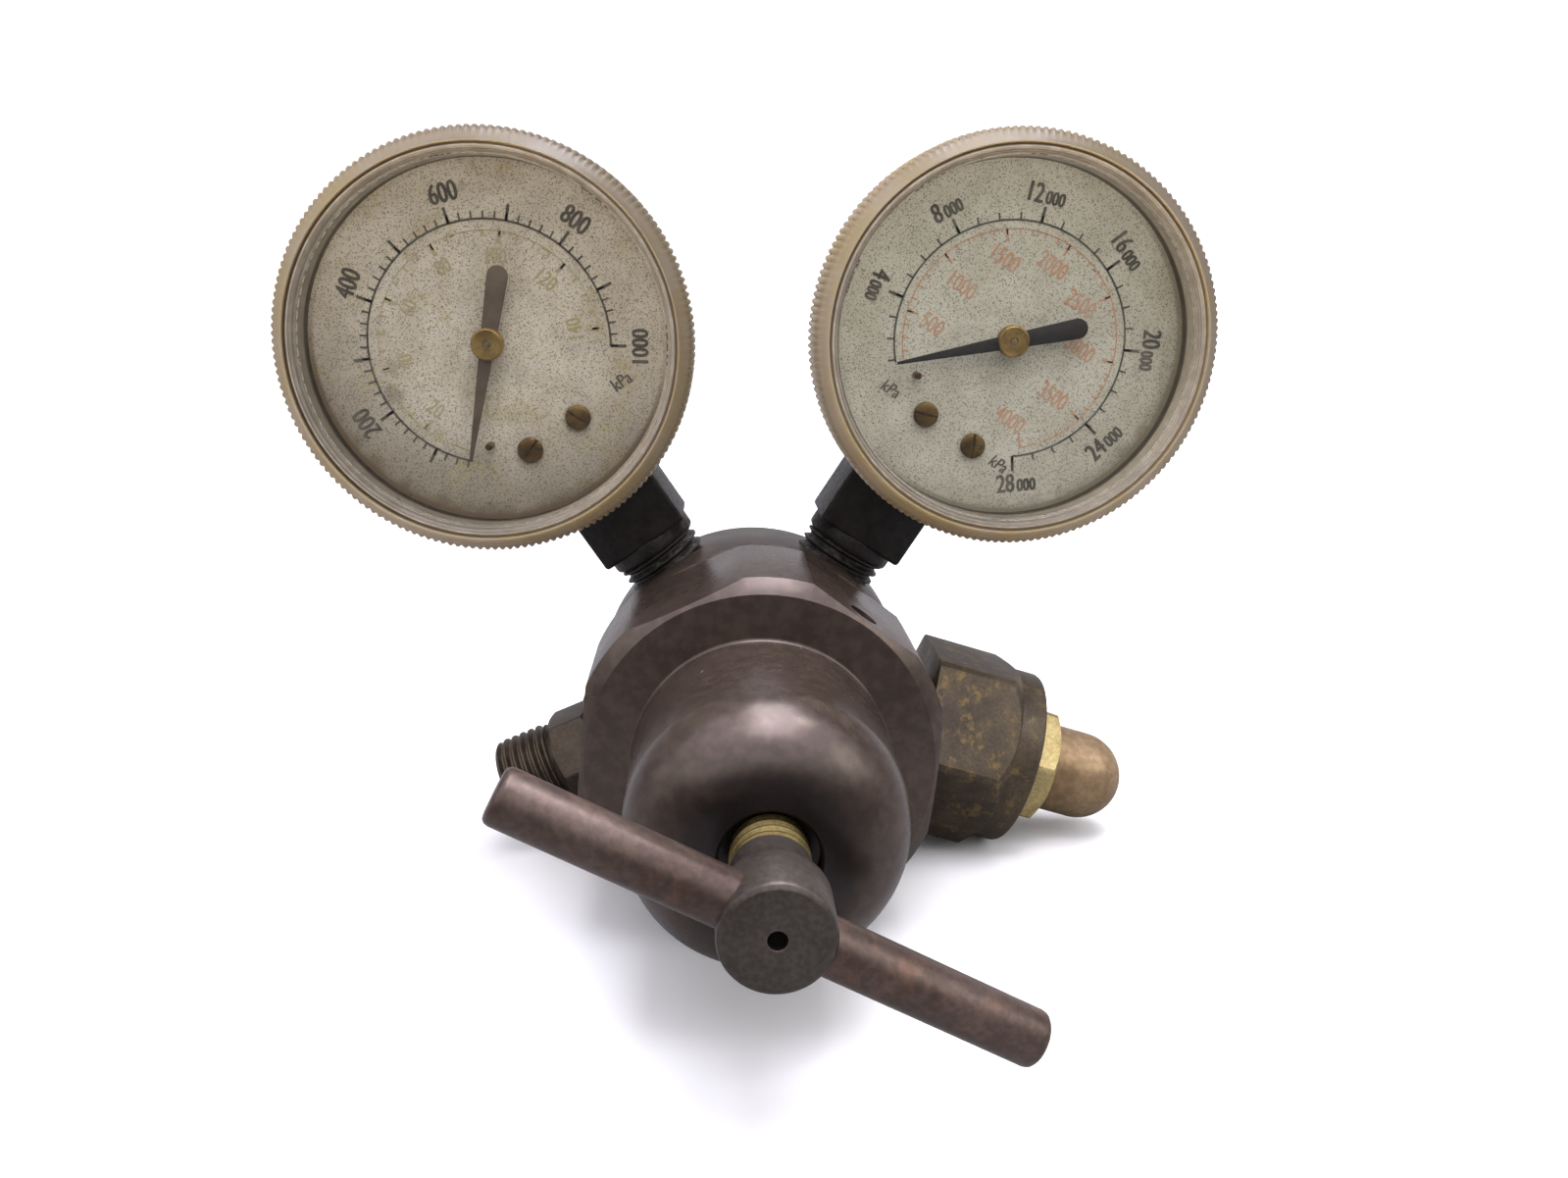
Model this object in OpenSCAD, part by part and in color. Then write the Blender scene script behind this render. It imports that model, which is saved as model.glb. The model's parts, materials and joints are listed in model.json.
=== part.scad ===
// Single-stage gas pressure regulator with a cylinder gauge and a delivery gauge.
// Origin: midway under the part, level with its lowest point. The adjusting screw points along -Y, +Z is up.
// The modules work in a forward frame, whose z runs from the body's back face towards the screw's hub.

/* [Body] */
// Radius of the round body
body_r = 24.6; // [24:0.1:25.2]
// Length of the body from its back face to the bonnet
body_len = 23; // [22.5:0.5:26]
// Distance of the four ports from the back face
port_z = 10; // [9:0.5:11]
// Chamfer around the back face
body_chamfer = 3; // [1:0.5:4]
// Radius of the threaded spigot that the bonnet screws onto
spigot_r = 21.4; // [20.8:0.1:21.8]
// Length of that spigot
spigot_len = 14; // [12:0.5:16]
// Radius of the low-pressure chamber
chamber_r = 15; // [14:0.5:16]
// Depth of the low-pressure chamber
chamber_depth = 10; // [8.5:0.5:11]
// Radius of the bore that holds the nozzle and the valve
valve_bore_r = 5; // [4.6:0.1:5.6]
// Wall left between the valve bore and the back face
back_wall = 5; // [3:0.5:6]
// Radius of the drilled gas passages
passage_r = 1.5; // [1:0.1:1.8]

/* [Bonnet] */
// Size across the flats of the hexagon
hex_af = 48.8; // [48:0.2:50]
// Radius to which the hexagon's corners are turned
hex_turn_r = 25.9; // [25.6:0.1:26.1]
// Length of the hexagon
hex_len = 23; // [21.5:0.5:26]
// How far the hexagon is turned from one corner straight up, clockwise from the front
hex_turn = 6; // [0:1:30]
// Width of the chamfer on the hexagon's front face
hex_chamfer = 2; // [1:0.2:2.6]
// Radius of the spring case
case_r = 17.5; // [17:0.1:19]
// Length of the spring case from the hexagon to its front face
case_len = 29.5; // [28:0.5:33]
// Radius of the spring case's shoulder
shoulder_r = 9.5; // [7:0.5:10.5]
// Radius of the bore for the adjusting spring
spring_bore_r = 13.2; // [12.9:0.1:13.8]
// Thickness of the spring case's front wall
front_wall = 9; // [8:0.5:10]
// Radius of the mouth around the adjusting screw
mouth_r = 5.9; // [5.4:0.1:6.6]
// Depth of that mouth
mouth_depth = 2.6; // [1.5:0.1:3.5]
// Radius of the vent hole in one flat
vent_r = 2.2; // [1.5:0.1:2.6]

/* [Diaphragm and spring] */
// Thickness of the diaphragm
diaphragm_t = 1; // [0.8:0.1:1.4]
// Thickness of the slip ring
slip_ring_t = 1; // [0.6:0.1:1.4]
// Radius of the plate that the adjusting spring presses on
plate_r = 12.2; // [11.6:0.1:12.4]
// Thickness of the diaphragm plate's flange
plate_t = 2; // [1.5:0.1:2.5]
// Thickness of the spring button's flange
button_t = 2.4; // [2:0.1:3]
// Mean radius of the adjusting spring
spring_r = 10.2; // [9.8:0.1:10.5]
// Wire diameter of the adjusting spring
spring_wire = 2.2; // [1.8:0.1:2.4]
// Number of curls of the adjusting spring
spring_turns = 5; // [4:0.5:5]

/* [Adjusting screw] */
// Radius of the adjusting screw
screw_r = 4.76; // [4.3:0.02:5]
// Pitch of the adjusting screw
screw_pitch = 1.5875; // [1.25:0.0125:1.5875]
// Turns from slack to fully in
screw_turns = 5; // [3:1:5]
// Reach of the screw past the inside of the front wall
screw_reach = 2.5; // [1.5:0.1:3]
// Radius of the screw's hub
hub_r = 6.3; // [6:0.1:7.5]
// Length of the hub
hub_len = 9.6; // [9:0.1:12]
// Distance between the hub and the spring case when slack
hub_gap = 8.5; // [8.2:0.1:10]
// Radius of the centre-drilled hole in the hub's face
hub_hole_r = 1.05; // [0.6:0.05:1.5]
// Radius of the handle bar
bar_r = 3.175; // [2.5:0.025:3.5]
// Length of the handle bar
bar_len = 63.5; // [45:0.5:76]
// Distance of the bar's centre behind the hub's face
bar_set = 4.1; // [4:0.1:5]
// Slope of the bar at rest, down to the right
bar_slope = 28; // [0:1:90]

/* [Valve] */
// Radius of the nozzle's orifice
orifice_r = 1.3; // [1.1:0.05:1.6]
// Radius of the valve stem
stem_pin_r = 0.8; // [0.6:0.05:0.9]
// Size across the flats of the nozzle's head
nozzle_af = 12; // [11:0.5:14]
// Radius of the valve seat holder
seat_r = 3.4; // [3:0.1:4]
// Opening travel of the valve
valve_lift = 0.8; // [0.4:0.1:1]
// Mean radius of the seat spring
seat_spring_r = 2.2; // [1.9:0.1:2.6]
// Wire diameter of the seat spring
seat_spring_wire = 0.5; // [0.4:0.05:0.6]
// Number of curls of the seat spring
seat_spring_turns = 6; // [4:1:6]

/* [Inlet] */
// Slope of the inlet below level
inlet_slope = 17.5; // [12:0.5:20]
// Radius of the nipple's shank inside the nut
shank_r = 6.2; // [5.5:0.1:6.4]
// Size across the flats of the nut
nut_af = 28.6; // [27:0.1:30]
// Length of the nut
nut_len = 19; // [18:0.5:22]
// Length of the turned collar at the nut's mouth
collar_len = 4.2; // [2:0.2:6]
// Radius of the nut's thread
nut_thread_r = 10.8; // [10.6:0.1:11.6]
// Thickness of the lip at the nut's back
nut_lip = 4; // [3:0.5:5]
// Size across the flats of the nipple's hexagon
nipple_af = 17.5; // [16:0.1:18]
// How far the nipple's hexagon stands out of the nut
hex_stand = 4.8; // [3:0.1:6]
// Length of the nipple's hexagon
nipple_hex_len = 6; // [5:0.1:7]
// Radius of the nipple's nose
nose_r = 7.14; // [6.5:0.02:7.5]
// Length of the nose from the hexagon to its tip
nose_len = 13.7; // [11:0.1:16]
// Radius of the gas bore through the nipple
nipple_bore_r = 2; // [1.5:0.1:2.4]

/* [Outlet] */
// Slope of the outlet below level
outlet_slope = 22.5; // [18:0.5:26]
// Size across the flats of the outlet fitting
outlet_af = 14.6; // [14.3:0.1:17.5]
// Length of the outlet's hexagon
outlet_hex_len = 6.5; // [5:0.5:9]
// Radius of the outlet thread
outlet_thread_r = 7.14; // [6.5:0.02:7.5]
// Length of the outlet thread
outlet_thread_len = 8.4; // [7:0.1:11]
// Width and depth of the groove behind the outlet thread
outlet_groove = 1.3; // [0.8:0.1:1.6]
// Radius of the gas bore through the outlet
outlet_bore_r = 2; // [1.5:0.1:2.4]

/* [Pipe threads] */
// Radius of the pipe threads that enter the body
pipe_r = 6.6; // [6.4:0.1:6.8]
// Length of pipe thread inside the body
pipe_len = 10; // [9:0.5:11]

/* [Gauges] */
// Lean of each gauge from upright
gauge_lean = 33.5; // [31:0.5:36]
// Distance of the dial's centre from the body's axis
gauge_reach = 66.5; // [65.5:0.5:72]
// Outer radius of the window ring
window_r = 28.65; // [28.4:0.05:29]
// Outer radius of the gauge's case
can_r = 26.2; // [26:0.1:26.4]
// Wall of the gauge's case
can_wall = 0.8; // [0.6:0.1:1]
// Height of the case's back behind the ports' plane
can_back = 8.5; // [8.2:0.1:9.5]
// Height of the dial's face in front of the ports' plane
dial_z = 14.6; // [14:0.1:15.2]
// Thickness of the dial
dial_t = 0.8; // [0.6:0.1:1]
// Height of the window's inner face above the dial
window_gap = 4.8; // [4.2:0.1:6]
// Thickness of the window
window_t = 1.8; // [1.4:0.1:2.2]
// Size of the socket's square block
block_w = 14.3; // [13.5:0.1:14.9]
// Length of the block that shows below the case
block_show = 10.8; // [8:0.1:11]
// Length of the round collar below the block
stem_collar = 2.4; // [1.5:0.1:3]

/* [Pointers] */
// Reach of the pointer's tip from its shaft
pointer_len = 16.4; // [14:0.1:18]
// Reach of the pointer's tail
tail_len = 10.8; // [8:0.1:12]
// Width of the pointer's tail
tail_w = 2.9; // [2:0.1:4]
// Width of the pointer's tip
tip_w = 0.5; // [0.3:0.1:1]
// Height of the pointer above the dial
pointer_gap = 1.6; // [1.2:0.1:2.2]
// Angle from the stem round to the zero of the delivery gauge
left_zero = 44.8; // [38:0.1:50]
// Sweep of the delivery gauge's pointer
left_sweep = 264; // [240:1:280]
// Angle from the stem round to the zero of the cylinder gauge
right_zero = 46.2; // [38:0.1:50]
// Sweep of the cylinder gauge's pointer
right_sweep = 278; // [240:1:280]

/* [Movement] */
// Gear module of the pinion and the sector
gear_module = 0.25; // [0.24:0.01:0.26]
// Teeth on the pinion
pinion_teeth = 10; // [10:1:11]
// Sector's pitch radius divided by the pinion's
gear_ratio = 8; // [7:1:8]
// Length of the sector's tail
sector_tail = 5.5; // [5:0.1:5.8]
// Mean radius of the Bourdon tube
tube_r = 18; // [17.5:0.1:18.5]
// Width of the Bourdon tube
tube_w = 7; // [6:0.5:8]
// Thickness of the Bourdon tube
tube_t = 2.4; // [2:0.1:2.8]

/* [Clearances] */
// Radial gap of a shaft that turns in a bore
running_gap = 0.05; // [0.02:0.01:0.09]
// Radial gap of a screwed joint
thread_gap = 0.05; // [0.02:0.01:0.1]
// Gap between faces that pass one another
face_gap = 0.3; // [0.3:0.05:0.5]

/* [Hidden] */
$fn = 96;

// Sides of the gauges, and the ports' directions counter-clockwise from +X as seen from the front
left = 1;
right = -1;
inlet_dir = -inlet_slope;
outlet_dir = 180 + outlet_slope;
function gauge_dir(side) = 90 + side * gauge_lean;

// Heights along the bonnet's axis
hex_front_z = body_len + hex_len;
case_front_z = hex_front_z + case_len;
spigot_z = body_len + spigot_len;
chamber_z = spigot_z - chamber_depth;
slip_z = spigot_z + diaphragm_t;
ledge_z = slip_z + slip_ring_t;
wall_z = case_front_z - front_wall;
screw_tip_z = wall_z - screw_reach;
button_z = screw_tip_z - button_t;
vent_z = ledge_z + vent_r + face_gap;
plate_z = slip_z + plate_t;
hub_z = case_front_z + hub_gap;
hub_face_z = hub_z + hub_len;
bar_z = hub_face_z - bar_set;
screw_travel = screw_turns * screw_pitch;
hub_shoulder = 1.8;

// Valve
pusher_t = 1.5;
pusher_r = 4;
nozzle_head = 4;
nozzle_len = 8;
nozzle_root_z = chamber_z - nozzle_len;
seat_t = 3;
seat_z = nozzle_root_z - seat_t;
stem_top_z = spigot_z - pusher_t;
insert_r = 2.2;
insert_t = 1.2;

// Inlet, as distances from the body's axis
seat_face = max(body_r, hex_turn_r) + 0.5;
nut_front = seat_face + nut_len;
nipple_hex_back = nut_front + hex_stand - nipple_hex_len;
nipple_hex_front = nut_front + hex_stand;
nose_tip = nipple_hex_front + nose_len;
nut_corner_r = corner_r(nut_af) - 0.3;
collar_r = nut_af / 2 - 0.1;
nut_corner_chamfer = 2.2;
collar_edge = 0.5;
nipple_corner_r = corner_r(nipple_af) - 0.2;
nipple_hex_turn = -13;
boss_r = 9.5;
filter_len = 6;
filter_r = 3;

// Outlet
outlet_hex_front = seat_face + outlet_hex_len;
outlet_thread_back = outlet_hex_front + outlet_groove;
outlet_tip = outlet_thread_back + outlet_thread_len;
outlet_seat_r = 4.6;
outlet_boss_r = 9;

// Place of the part on its origin: halfway between hub and nut, with the nut's collar down on Z = 0
axis_y = (hub_face_z - nut_corner_r + port_z) / 2;
axis_height = (nut_front - collar_edge) * sin(inlet_slope) + collar_r * cos(inlet_slope);

// Gauge heights in the gauge's own frame: centre of the dial, z towards the viewer, y away from the body
window_in_z = dial_z + window_gap;
window_out_z = window_in_z + window_t;
ring_rise = 0.8;
ring_front = window_out_z + ring_rise;
knurl_back = 12;
ring_back = 9;
lens_r = 25.2;
block_bottom = -can_r - block_show;
stem_bottom = block_bottom - stem_collar;
body_edge = body_r - gauge_reach;
pipe_bottom = body_edge - pipe_len;
collar_stem_r = pipe_r + 0.4;
block_top = -12.5;
dial_r = can_r - can_wall - face_gap;
dial_screw_x = 4.15;
dial_screw_y = -15.2;
dial_screw_r = 1.7;
dial_screw_shank = 0.8;
dial_screw_len = 5;
stop_pin_r = 0.5;
stop_pin_reach = 14.2;
case_screw_x = 4;
case_screw_y = -19;
shaft_r = 0.7;
pointer_t = 0.5;
pointer_hub_r = 2.1;
pointer_hub_t = 1.3;
pointer_z = dial_z + pointer_gap;
frame_back_z = 4.6;
frame_front_z = 11.4;
frame_plate = 1;
sector_z = 8.2;
sector_t = 0.8;
link_t = 0.6;
link_z = sector_z + sector_t + 0.25;
link_play = 0.5;
link_pin_r = 0.4;
pinion_r = gear_module * pinion_teeth / 2;
sector_r = pinion_r * gear_ratio;
sector_teeth = pinion_teeth * gear_ratio;
tooth_pitch_angle = 360 / sector_teeth;
gear_centres = pinion_r + sector_r;
pivot_dir = -54.7;
pivot = gear_centres * [cos(pivot_dir), sin(pivot_dir)];
mesh_dir = 180 + pivot_dir;
function sector_swing(sweep) = sweep / gear_ratio;
function tail_pin(sweep) = pivot + sector_tail * [cos(sector_swing(sweep) / 2), -sin(sector_swing(sweep) / 2)];
tip_dir = -8;
tip_pin = [tube_r - 2.6, -3.4];
tube_start = -asin((block_w / 2 - 0.6) / tube_r) - 90;

// Points of an arc about c, from angle a to angle b
function arc(c, r, a, b, steps) = [for (i = [0:steps]) c + r * [cos(a + (b - a) * i / steps), sin(a + (b - a) * i / steps)]];

// A regular polygon's corner radius from its size across flats
function corner_r(af) = af / 2 / cos(30);

// From the forward frame to the part's own frame
module forward() translate([0, axis_y, axis_height]) rotate([90, 0, 0]) children();

// z runs outwards along a port's axis, from the body's axis
module port(dir) translate([0, 0, port_z]) rotate([0, 0, dir]) rotate([0, 90, 0]) children();

// The frame of one gauge
module gauge(side) forward() translate([0, 0, port_z]) rotate([0, 0, side * gauge_lean])
    translate([0, gauge_reach, 0]) children();

// A round solid from height a to height b
module rod(r, a, b) translate([0, 0, a]) cylinder(r = r, h = b - a);

// A cone or a chamfer from height a to height b
module taper(r1, r2, a, b) translate([0, 0, a]) cylinder(r1 = r1, r2 = r2, h = b - a);

// A hexagonal bar from height a to height b, flats facing along x after a half step
module hex_bar(af, a, b, turn = 0) rotate([0, 0, turn]) translate([0, 0, a])
    cylinder(r = corner_r(af), h = b - a, $fn = 6);

// One unbroken coil of round wire, with six sides, ground flat at both ends
coil_rings = 8;
module coil(r, wire, a, b, turns) {
    rings = coil_rings * turns;
    sides = 6;
    lead = (b - a) / turns;
    function ring_point(i, j) =
        let (t = 360 * i / coil_rings, u = 360 * j / sides, q = r + wire / 2 * cos(u))
        [q * cos(t), q * sin(t), a + lead * i / coil_rings + wire / 2 * sin(u)];
    points = [for (i = [0:rings]) for (j = [0:sides - 1]) ring_point(i, j)];
    skin = [for (i = [0:rings - 1]) for (j = [0:sides - 1])
        let (k = i * sides + j, n = i * sides + (j + 1) % sides)
        each [[k, n, n + sides], [k, n + sides, k + sides]]];
    start = [for (j = [1:sides - 2]) [0, j + 1, j]];
    end = [for (j = [1:sides - 2]) [rings * sides, rings * sides + j, rings * sides + j + 1]];
    intersection() {
        polyhedron(points = points, faces = [for (f = concat(skin, start, end)) [f[0], f[2], f[1]]]);
        rod(r + wire, a, b);
    }
    echo(str("coil gap ", lead - wire, " mm"));
}

// Clear radius inside such a coil, between its rings
function coil_bore(r, wire) = (r - wire / 2) * cos(180 / coil_rings);

// ---- Regulator ----

module body() color("#6b5850") forward() difference() {
    union() {
        taper(body_r - body_chamfer, body_r, 0, body_chamfer);
        rod(body_r, body_chamfer, body_len);
        rod(spigot_r, body_len, spigot_z);
        port(inlet_dir) rod(boss_r, 0, seat_face - face_gap);
        port(outlet_dir) rod(outlet_boss_r, 0, seat_face - face_gap);
    }
    rod(chamber_r, chamber_z, spigot_z + 1);
    rod(valve_bore_r, back_wall, chamber_z + 1);
    for (dir = [inlet_dir, outlet_dir, gauge_dir(left), gauge_dir(right)])
        port(dir) rod(pipe_r + thread_gap, body_r - pipe_len, seat_face + 1);
    for (dir = [inlet_dir, gauge_dir(right)])
        port(dir) rod(passage_r, 0, body_r);
    for (dir = [outlet_dir, gauge_dir(left)])
        rotate([0, 0, dir]) translate([chamber_r - passage_r, 0, 0]) rod(passage_r, port_z, chamber_z + 1);
    for (dir = [outlet_dir, gauge_dir(left)])
        port(dir) rod(passage_r, chamber_r - 2 * passage_r, body_r);
}

// Outline of the turned bonnet, radius against height
function bonnet_outline() = concat(
    [[0, body_len], [hex_turn_r - 0.8, body_len], [hex_turn_r, body_len + 0.8],
     [hex_turn_r, hex_front_z - 0.8 * hex_chamfer], [hex_turn_r - hex_chamfer, hex_front_z],
     [case_r + 0.6, hex_front_z]],
    arc([case_r + 0.6, hex_front_z + 0.6], 0.6, -90, -180, 4),
    arc([case_r - shoulder_r, case_front_z - shoulder_r], shoulder_r, 0, 90, 24),
    [[0, case_front_z]]);

module bonnet() color("#6b5850") forward() difference() {
    intersection() {
        rotate_extrude() polygon(bonnet_outline());
        union() {
            hex_bar(hex_af, body_len - 1, hex_front_z, 90 - hex_turn);
            rod(case_r + 1.2, body_len, case_front_z + 1);
        }
    }
    rod(spigot_r + thread_gap, body_len - 1, ledge_z);
    rod(spring_bore_r, body_len, wall_z);
    rod(screw_r + running_gap, body_len, case_front_z + 1);
    rod(mouth_r, case_front_z - mouth_depth, case_front_z + 1);
    translate([0, 0, vent_z]) rotate([0, 0, 60 - hex_turn]) rotate([0, 90, 0])
        cylinder(r = vent_r, h = hex_turn_r + 1);
}

module slip_ring() color("#b08d4a") forward() difference() {
    rod(spigot_r - face_gap, slip_z, ledge_z);
    rod(spring_bore_r, slip_z - 1, ledge_z + 1);
}

module diaphragm() color("#2a2a2a") forward() rod(spigot_r - face_gap, spigot_z, slip_z);

module diaphragm_plate() color("#c2a15a") forward() {
    rod(plate_r, slip_z, plate_z);
    rod(coil_bore(spring_r, spring_wire) - face_gap, plate_z, plate_z + 1.5);
}

module diaphragm_pusher() color("#c2a15a") forward() rod(pusher_r, spigot_z - pusher_t, spigot_z);

module adjusting_spring() color("#9a9a96") forward()
    coil(spring_r, spring_wire, plate_z, button_z, spring_turns);

module spring_button() color("#c2a15a") forward() difference() {
    union() {
        rod(spring_bore_r - 2 * face_gap, button_z, screw_tip_z);
        rod(coil_bore(spring_r, spring_wire) - face_gap, button_z - 1.5, button_z);
    }
    taper(1, 2.2, screw_tip_z - 1, screw_tip_z + 0.2);
}

module adjusting_screw() color("#7a6253") forward() difference() {
    union() {
        taper(screw_r - 1.2, screw_r, screw_tip_z, screw_tip_z + 1.2);
        rod(screw_r, screw_tip_z + 1.2, hub_z);
        taper(screw_r, hub_r, hub_z, hub_z + hub_shoulder);
        rod(hub_r, hub_z + hub_shoulder, hub_face_z - 0.7);
        taper(hub_r, hub_r - 0.7, hub_face_z - 0.7, hub_face_z);
    }
    rod(hub_hole_r, hub_face_z - 1, hub_face_z + 1);
    translate([0, 0, bar_z]) rotate([0, 0, -bar_slope]) rotate([0, 90, 0])
        cylinder(r = bar_r + thread_gap, h = 3 * hub_r, center = true);
}

module handle_bar() color("#7a5a4e") forward() translate([0, 0, bar_z]) rotate([0, 0, -bar_slope])
    rotate([0, 90, 0]) {
        edge = 0.5;
        rod(bar_r, edge - bar_len / 2, bar_len / 2 - edge);
        taper(bar_r - edge, bar_r, -bar_len / 2, edge - bar_len / 2);
        taper(bar_r, bar_r - edge, bar_len / 2 - edge, bar_len / 2);
    }

module nozzle() color("#c2a15a") forward() difference() {
    union() {
        rod(valve_bore_r - thread_gap, nozzle_root_z + 1, chamber_z);
        taper(orifice_r + 0.8, valve_bore_r - 1, nozzle_root_z, nozzle_root_z + 1);
        hex_bar(nozzle_af, chamber_z, chamber_z + nozzle_head);
    }
    rod(orifice_r, nozzle_root_z - 1, chamber_z + nozzle_head + 1);
}

module valve_stem() color("#b9b9b4") forward() rod(stem_pin_r, seat_z + 0.5, stem_top_z);

module valve_seat() color("#d8d2c0") forward() difference() {
    union() {
        rod(seat_r, seat_z, seat_z + seat_t - insert_t);
        rod(insert_r, seat_z, nozzle_root_z);
        rod(coil_bore(seat_spring_r, seat_spring_wire) - 0.1, seat_z - 2, seat_z);
    }
    rod(stem_pin_r + thread_gap, seat_z + 0.5, nozzle_root_z + 1);
}

module seat_spring() color("#b9b9b4") forward()
    coil(seat_spring_r, seat_spring_wire, back_wall, seat_z, seat_spring_turns);

module inlet_nipple() color("#c8a878") forward() port(inlet_dir) difference() {
    union() {
        rod(pipe_r, body_r - pipe_len, seat_face - face_gap);
        rod(shank_r, seat_face - face_gap - 1, nipple_hex_front - 1);
        intersection() {
            hex_bar(nipple_af, nipple_hex_back, nipple_hex_front, nipple_hex_turn);
            union() {
                rod(nipple_corner_r, nipple_hex_back, nipple_hex_front - 1);
                taper(nipple_corner_r, nipple_af / 2 - 0.1, nipple_hex_front - 1, nipple_hex_front);
            }
        }
        translate([0, 0, nose_tip - nose_r]) rotate_extrude() polygon(concat(
            [[0, nipple_hex_back + nose_r - nose_tip], [nose_r, nipple_hex_back + nose_r - nose_tip]],
            arc([0, 0], nose_r, 0, 90, 24)));
    }
    rod(nipple_bore_r, 0, nose_tip + 1);
    rod(filter_r + thread_gap, 0, body_r - pipe_len + filter_len);
}

module inlet_filter() color("#a98a55") forward() port(inlet_dir)
    rod(filter_r, body_r - pipe_len, body_r - pipe_len + filter_len);

module inlet_nut() color("#6a5a4c") forward() port(inlet_dir) difference() {
    union() {
        intersection() {
            hex_bar(nut_af, seat_face, nut_front - collar_len);
            union() {
                rod(nut_corner_r, seat_face, nut_front - collar_len - nut_corner_chamfer);
                taper(nut_corner_r, collar_r, nut_front - collar_len - nut_corner_chamfer,
                    nut_front - collar_len);
            }
        }
        rod(collar_r, nut_front - collar_len, nut_front - collar_edge);
        taper(collar_r, collar_r - collar_edge, nut_front - collar_edge, nut_front);
    }
    rod(shank_r + running_gap, seat_face - 1, nut_front);
    rod(nut_thread_r, seat_face + nut_lip, nut_front + 1);
    taper(nut_thread_r, nut_thread_r + 0.8, nut_front - 0.8, nut_front + 0.01);
}

module outlet_fitting() color("#5c5046") forward() port(outlet_dir) difference() {
    union() {
        rod(pipe_r, body_r - pipe_len, seat_face + 1);
        hex_bar(outlet_af, seat_face, outlet_hex_front);
        rod(outlet_thread_r - outlet_groove, seat_face + 1, outlet_thread_back + 1);
        rod(outlet_thread_r, outlet_thread_back, outlet_tip - 0.6);
        taper(outlet_thread_r, outlet_thread_r - 0.6, outlet_tip - 0.6, outlet_tip);
    }
    rod(outlet_bore_r, 0, outlet_tip + 1);
    taper(outlet_bore_r, outlet_seat_r, outlet_tip - outlet_seat_r + outlet_bore_r, outlet_tip + 0.01);
}

// ---- Gauges ----

module socket(side) color("#26221f") gauge(side) difference() {
    union() {
        rotate([-90, 0, 0]) {
            rod(pipe_r, pipe_bottom, stem_bottom);
            taper(pipe_r, collar_stem_r, stem_bottom, stem_bottom + 0.4);
            rod(collar_stem_r, stem_bottom + 0.4, block_bottom);
        }
        translate([-block_w / 2, block_bottom, -block_w / 2]) cube([block_w, block_top - block_bottom, block_w]);
        translate([-block_w / 2, 1 - dial_r, 0]) cube([block_w, block_top + dial_r - 1, dial_z - dial_t]);
    }
    rotate([-90, 0, 0]) rod(passage_r, pipe_bottom - 1, dial_screw_y);
    for (x = [-1, 1]) translate([x * dial_screw_x, dial_screw_y, 0])
        rod(dial_screw_shank + thread_gap, dial_z - dial_screw_len, dial_z);
    for (x = [-1, 1]) translate([x * case_screw_x, case_screw_y, 0])
        rod(dial_screw_shank + thread_gap, -can_back, 1 - can_back + dial_screw_len);
    tube_path() tube_section(0.1);
}

module gauge_case(side) color("#2b2b2b") gauge(side) difference() {
    rod(can_r, -can_back, dial_z);
    rod(can_r - can_wall, can_wall - can_back, dial_z + 1);
    translate([-block_w / 2 - 0.1, -can_r - 1, -block_w / 2 - 0.1])
        cube([block_w + 0.2, can_r, block_w + 0.2]);
    for (x = [-1, 1]) translate([x * case_screw_x, case_screw_y, 0])
        rod(dial_screw_shank + thread_gap, -can_back - 1, 0);
}

module case_screws(side) color("#b08d4a") gauge(side)
    for (x = [-1, 1]) translate([x * case_screw_x, case_screw_y, 0]) difference() {
        union() {
            rod(dial_screw_shank, -can_back, dial_screw_len - can_back);
            rod(dial_screw_r, -can_back - 1, -can_back);
        }
        translate([-dial_screw_r, -0.25, -can_back - 1.5]) cube([2 * dial_screw_r, 0.5, 1]);
    }

// Outline of the window and its ring, radius against height
window_outline = [
    [can_r + thread_gap, ring_back], [window_r - 0.9, ring_back], [window_r - 0.9, knurl_back - 0.6],
    [window_r, knurl_back], [window_r, ring_front - 3], [window_r - 0.7, ring_front - 1.6],
    [window_r - 1.4, ring_front - 1], [window_r - 2, ring_front], [lens_r + 0.5, ring_front],
    [lens_r, window_out_z], [0, window_out_z], [0, window_in_z], [lens_r - 0.4, window_in_z],
    [lens_r - 0.4, dial_z + 0.2], [can_r + thread_gap, dial_z + 0.2]
];

module window(side) color("#e8e0c8", 0.5) gauge(side) rotate_extrude() polygon(window_outline);

module dial(side) color("#c9c8bb") gauge(side) difference() {
    rod(dial_r, dial_z - dial_t, dial_z);
    rod(shaft_r + 0.8, dial_z - 2, dial_z + 1);
    for (x = [-1, 1]) translate([x * dial_screw_x, dial_screw_y, 0])
        rod(dial_screw_shank + thread_gap, dial_z - 2, dial_z + 1);
}

module dial_fixings(side, zero) color("#a8894e") gauge(side) {
    for (x = [-1, 1]) translate([x * dial_screw_x, dial_screw_y, 0]) difference() {
        union() {
            rod(dial_screw_shank, dial_z - dial_screw_len + 0.5, dial_z);
            rod(dial_screw_r, dial_z, dial_z + 0.8);
        }
        translate([-dial_screw_r, -0.2, dial_z + 0.4]) cube([2 * dial_screw_r, 0.4, 1]);
    }
    pin_lag = (tail_w / 2 + stop_pin_r + face_gap) / stop_pin_reach * 180 / PI;
    rotate([0, 0, -90 - zero + pin_lag]) translate([stop_pin_reach, 0, 0])
        rod(stop_pin_r, dial_z, pointer_z + pointer_t + 0.5);
}

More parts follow.
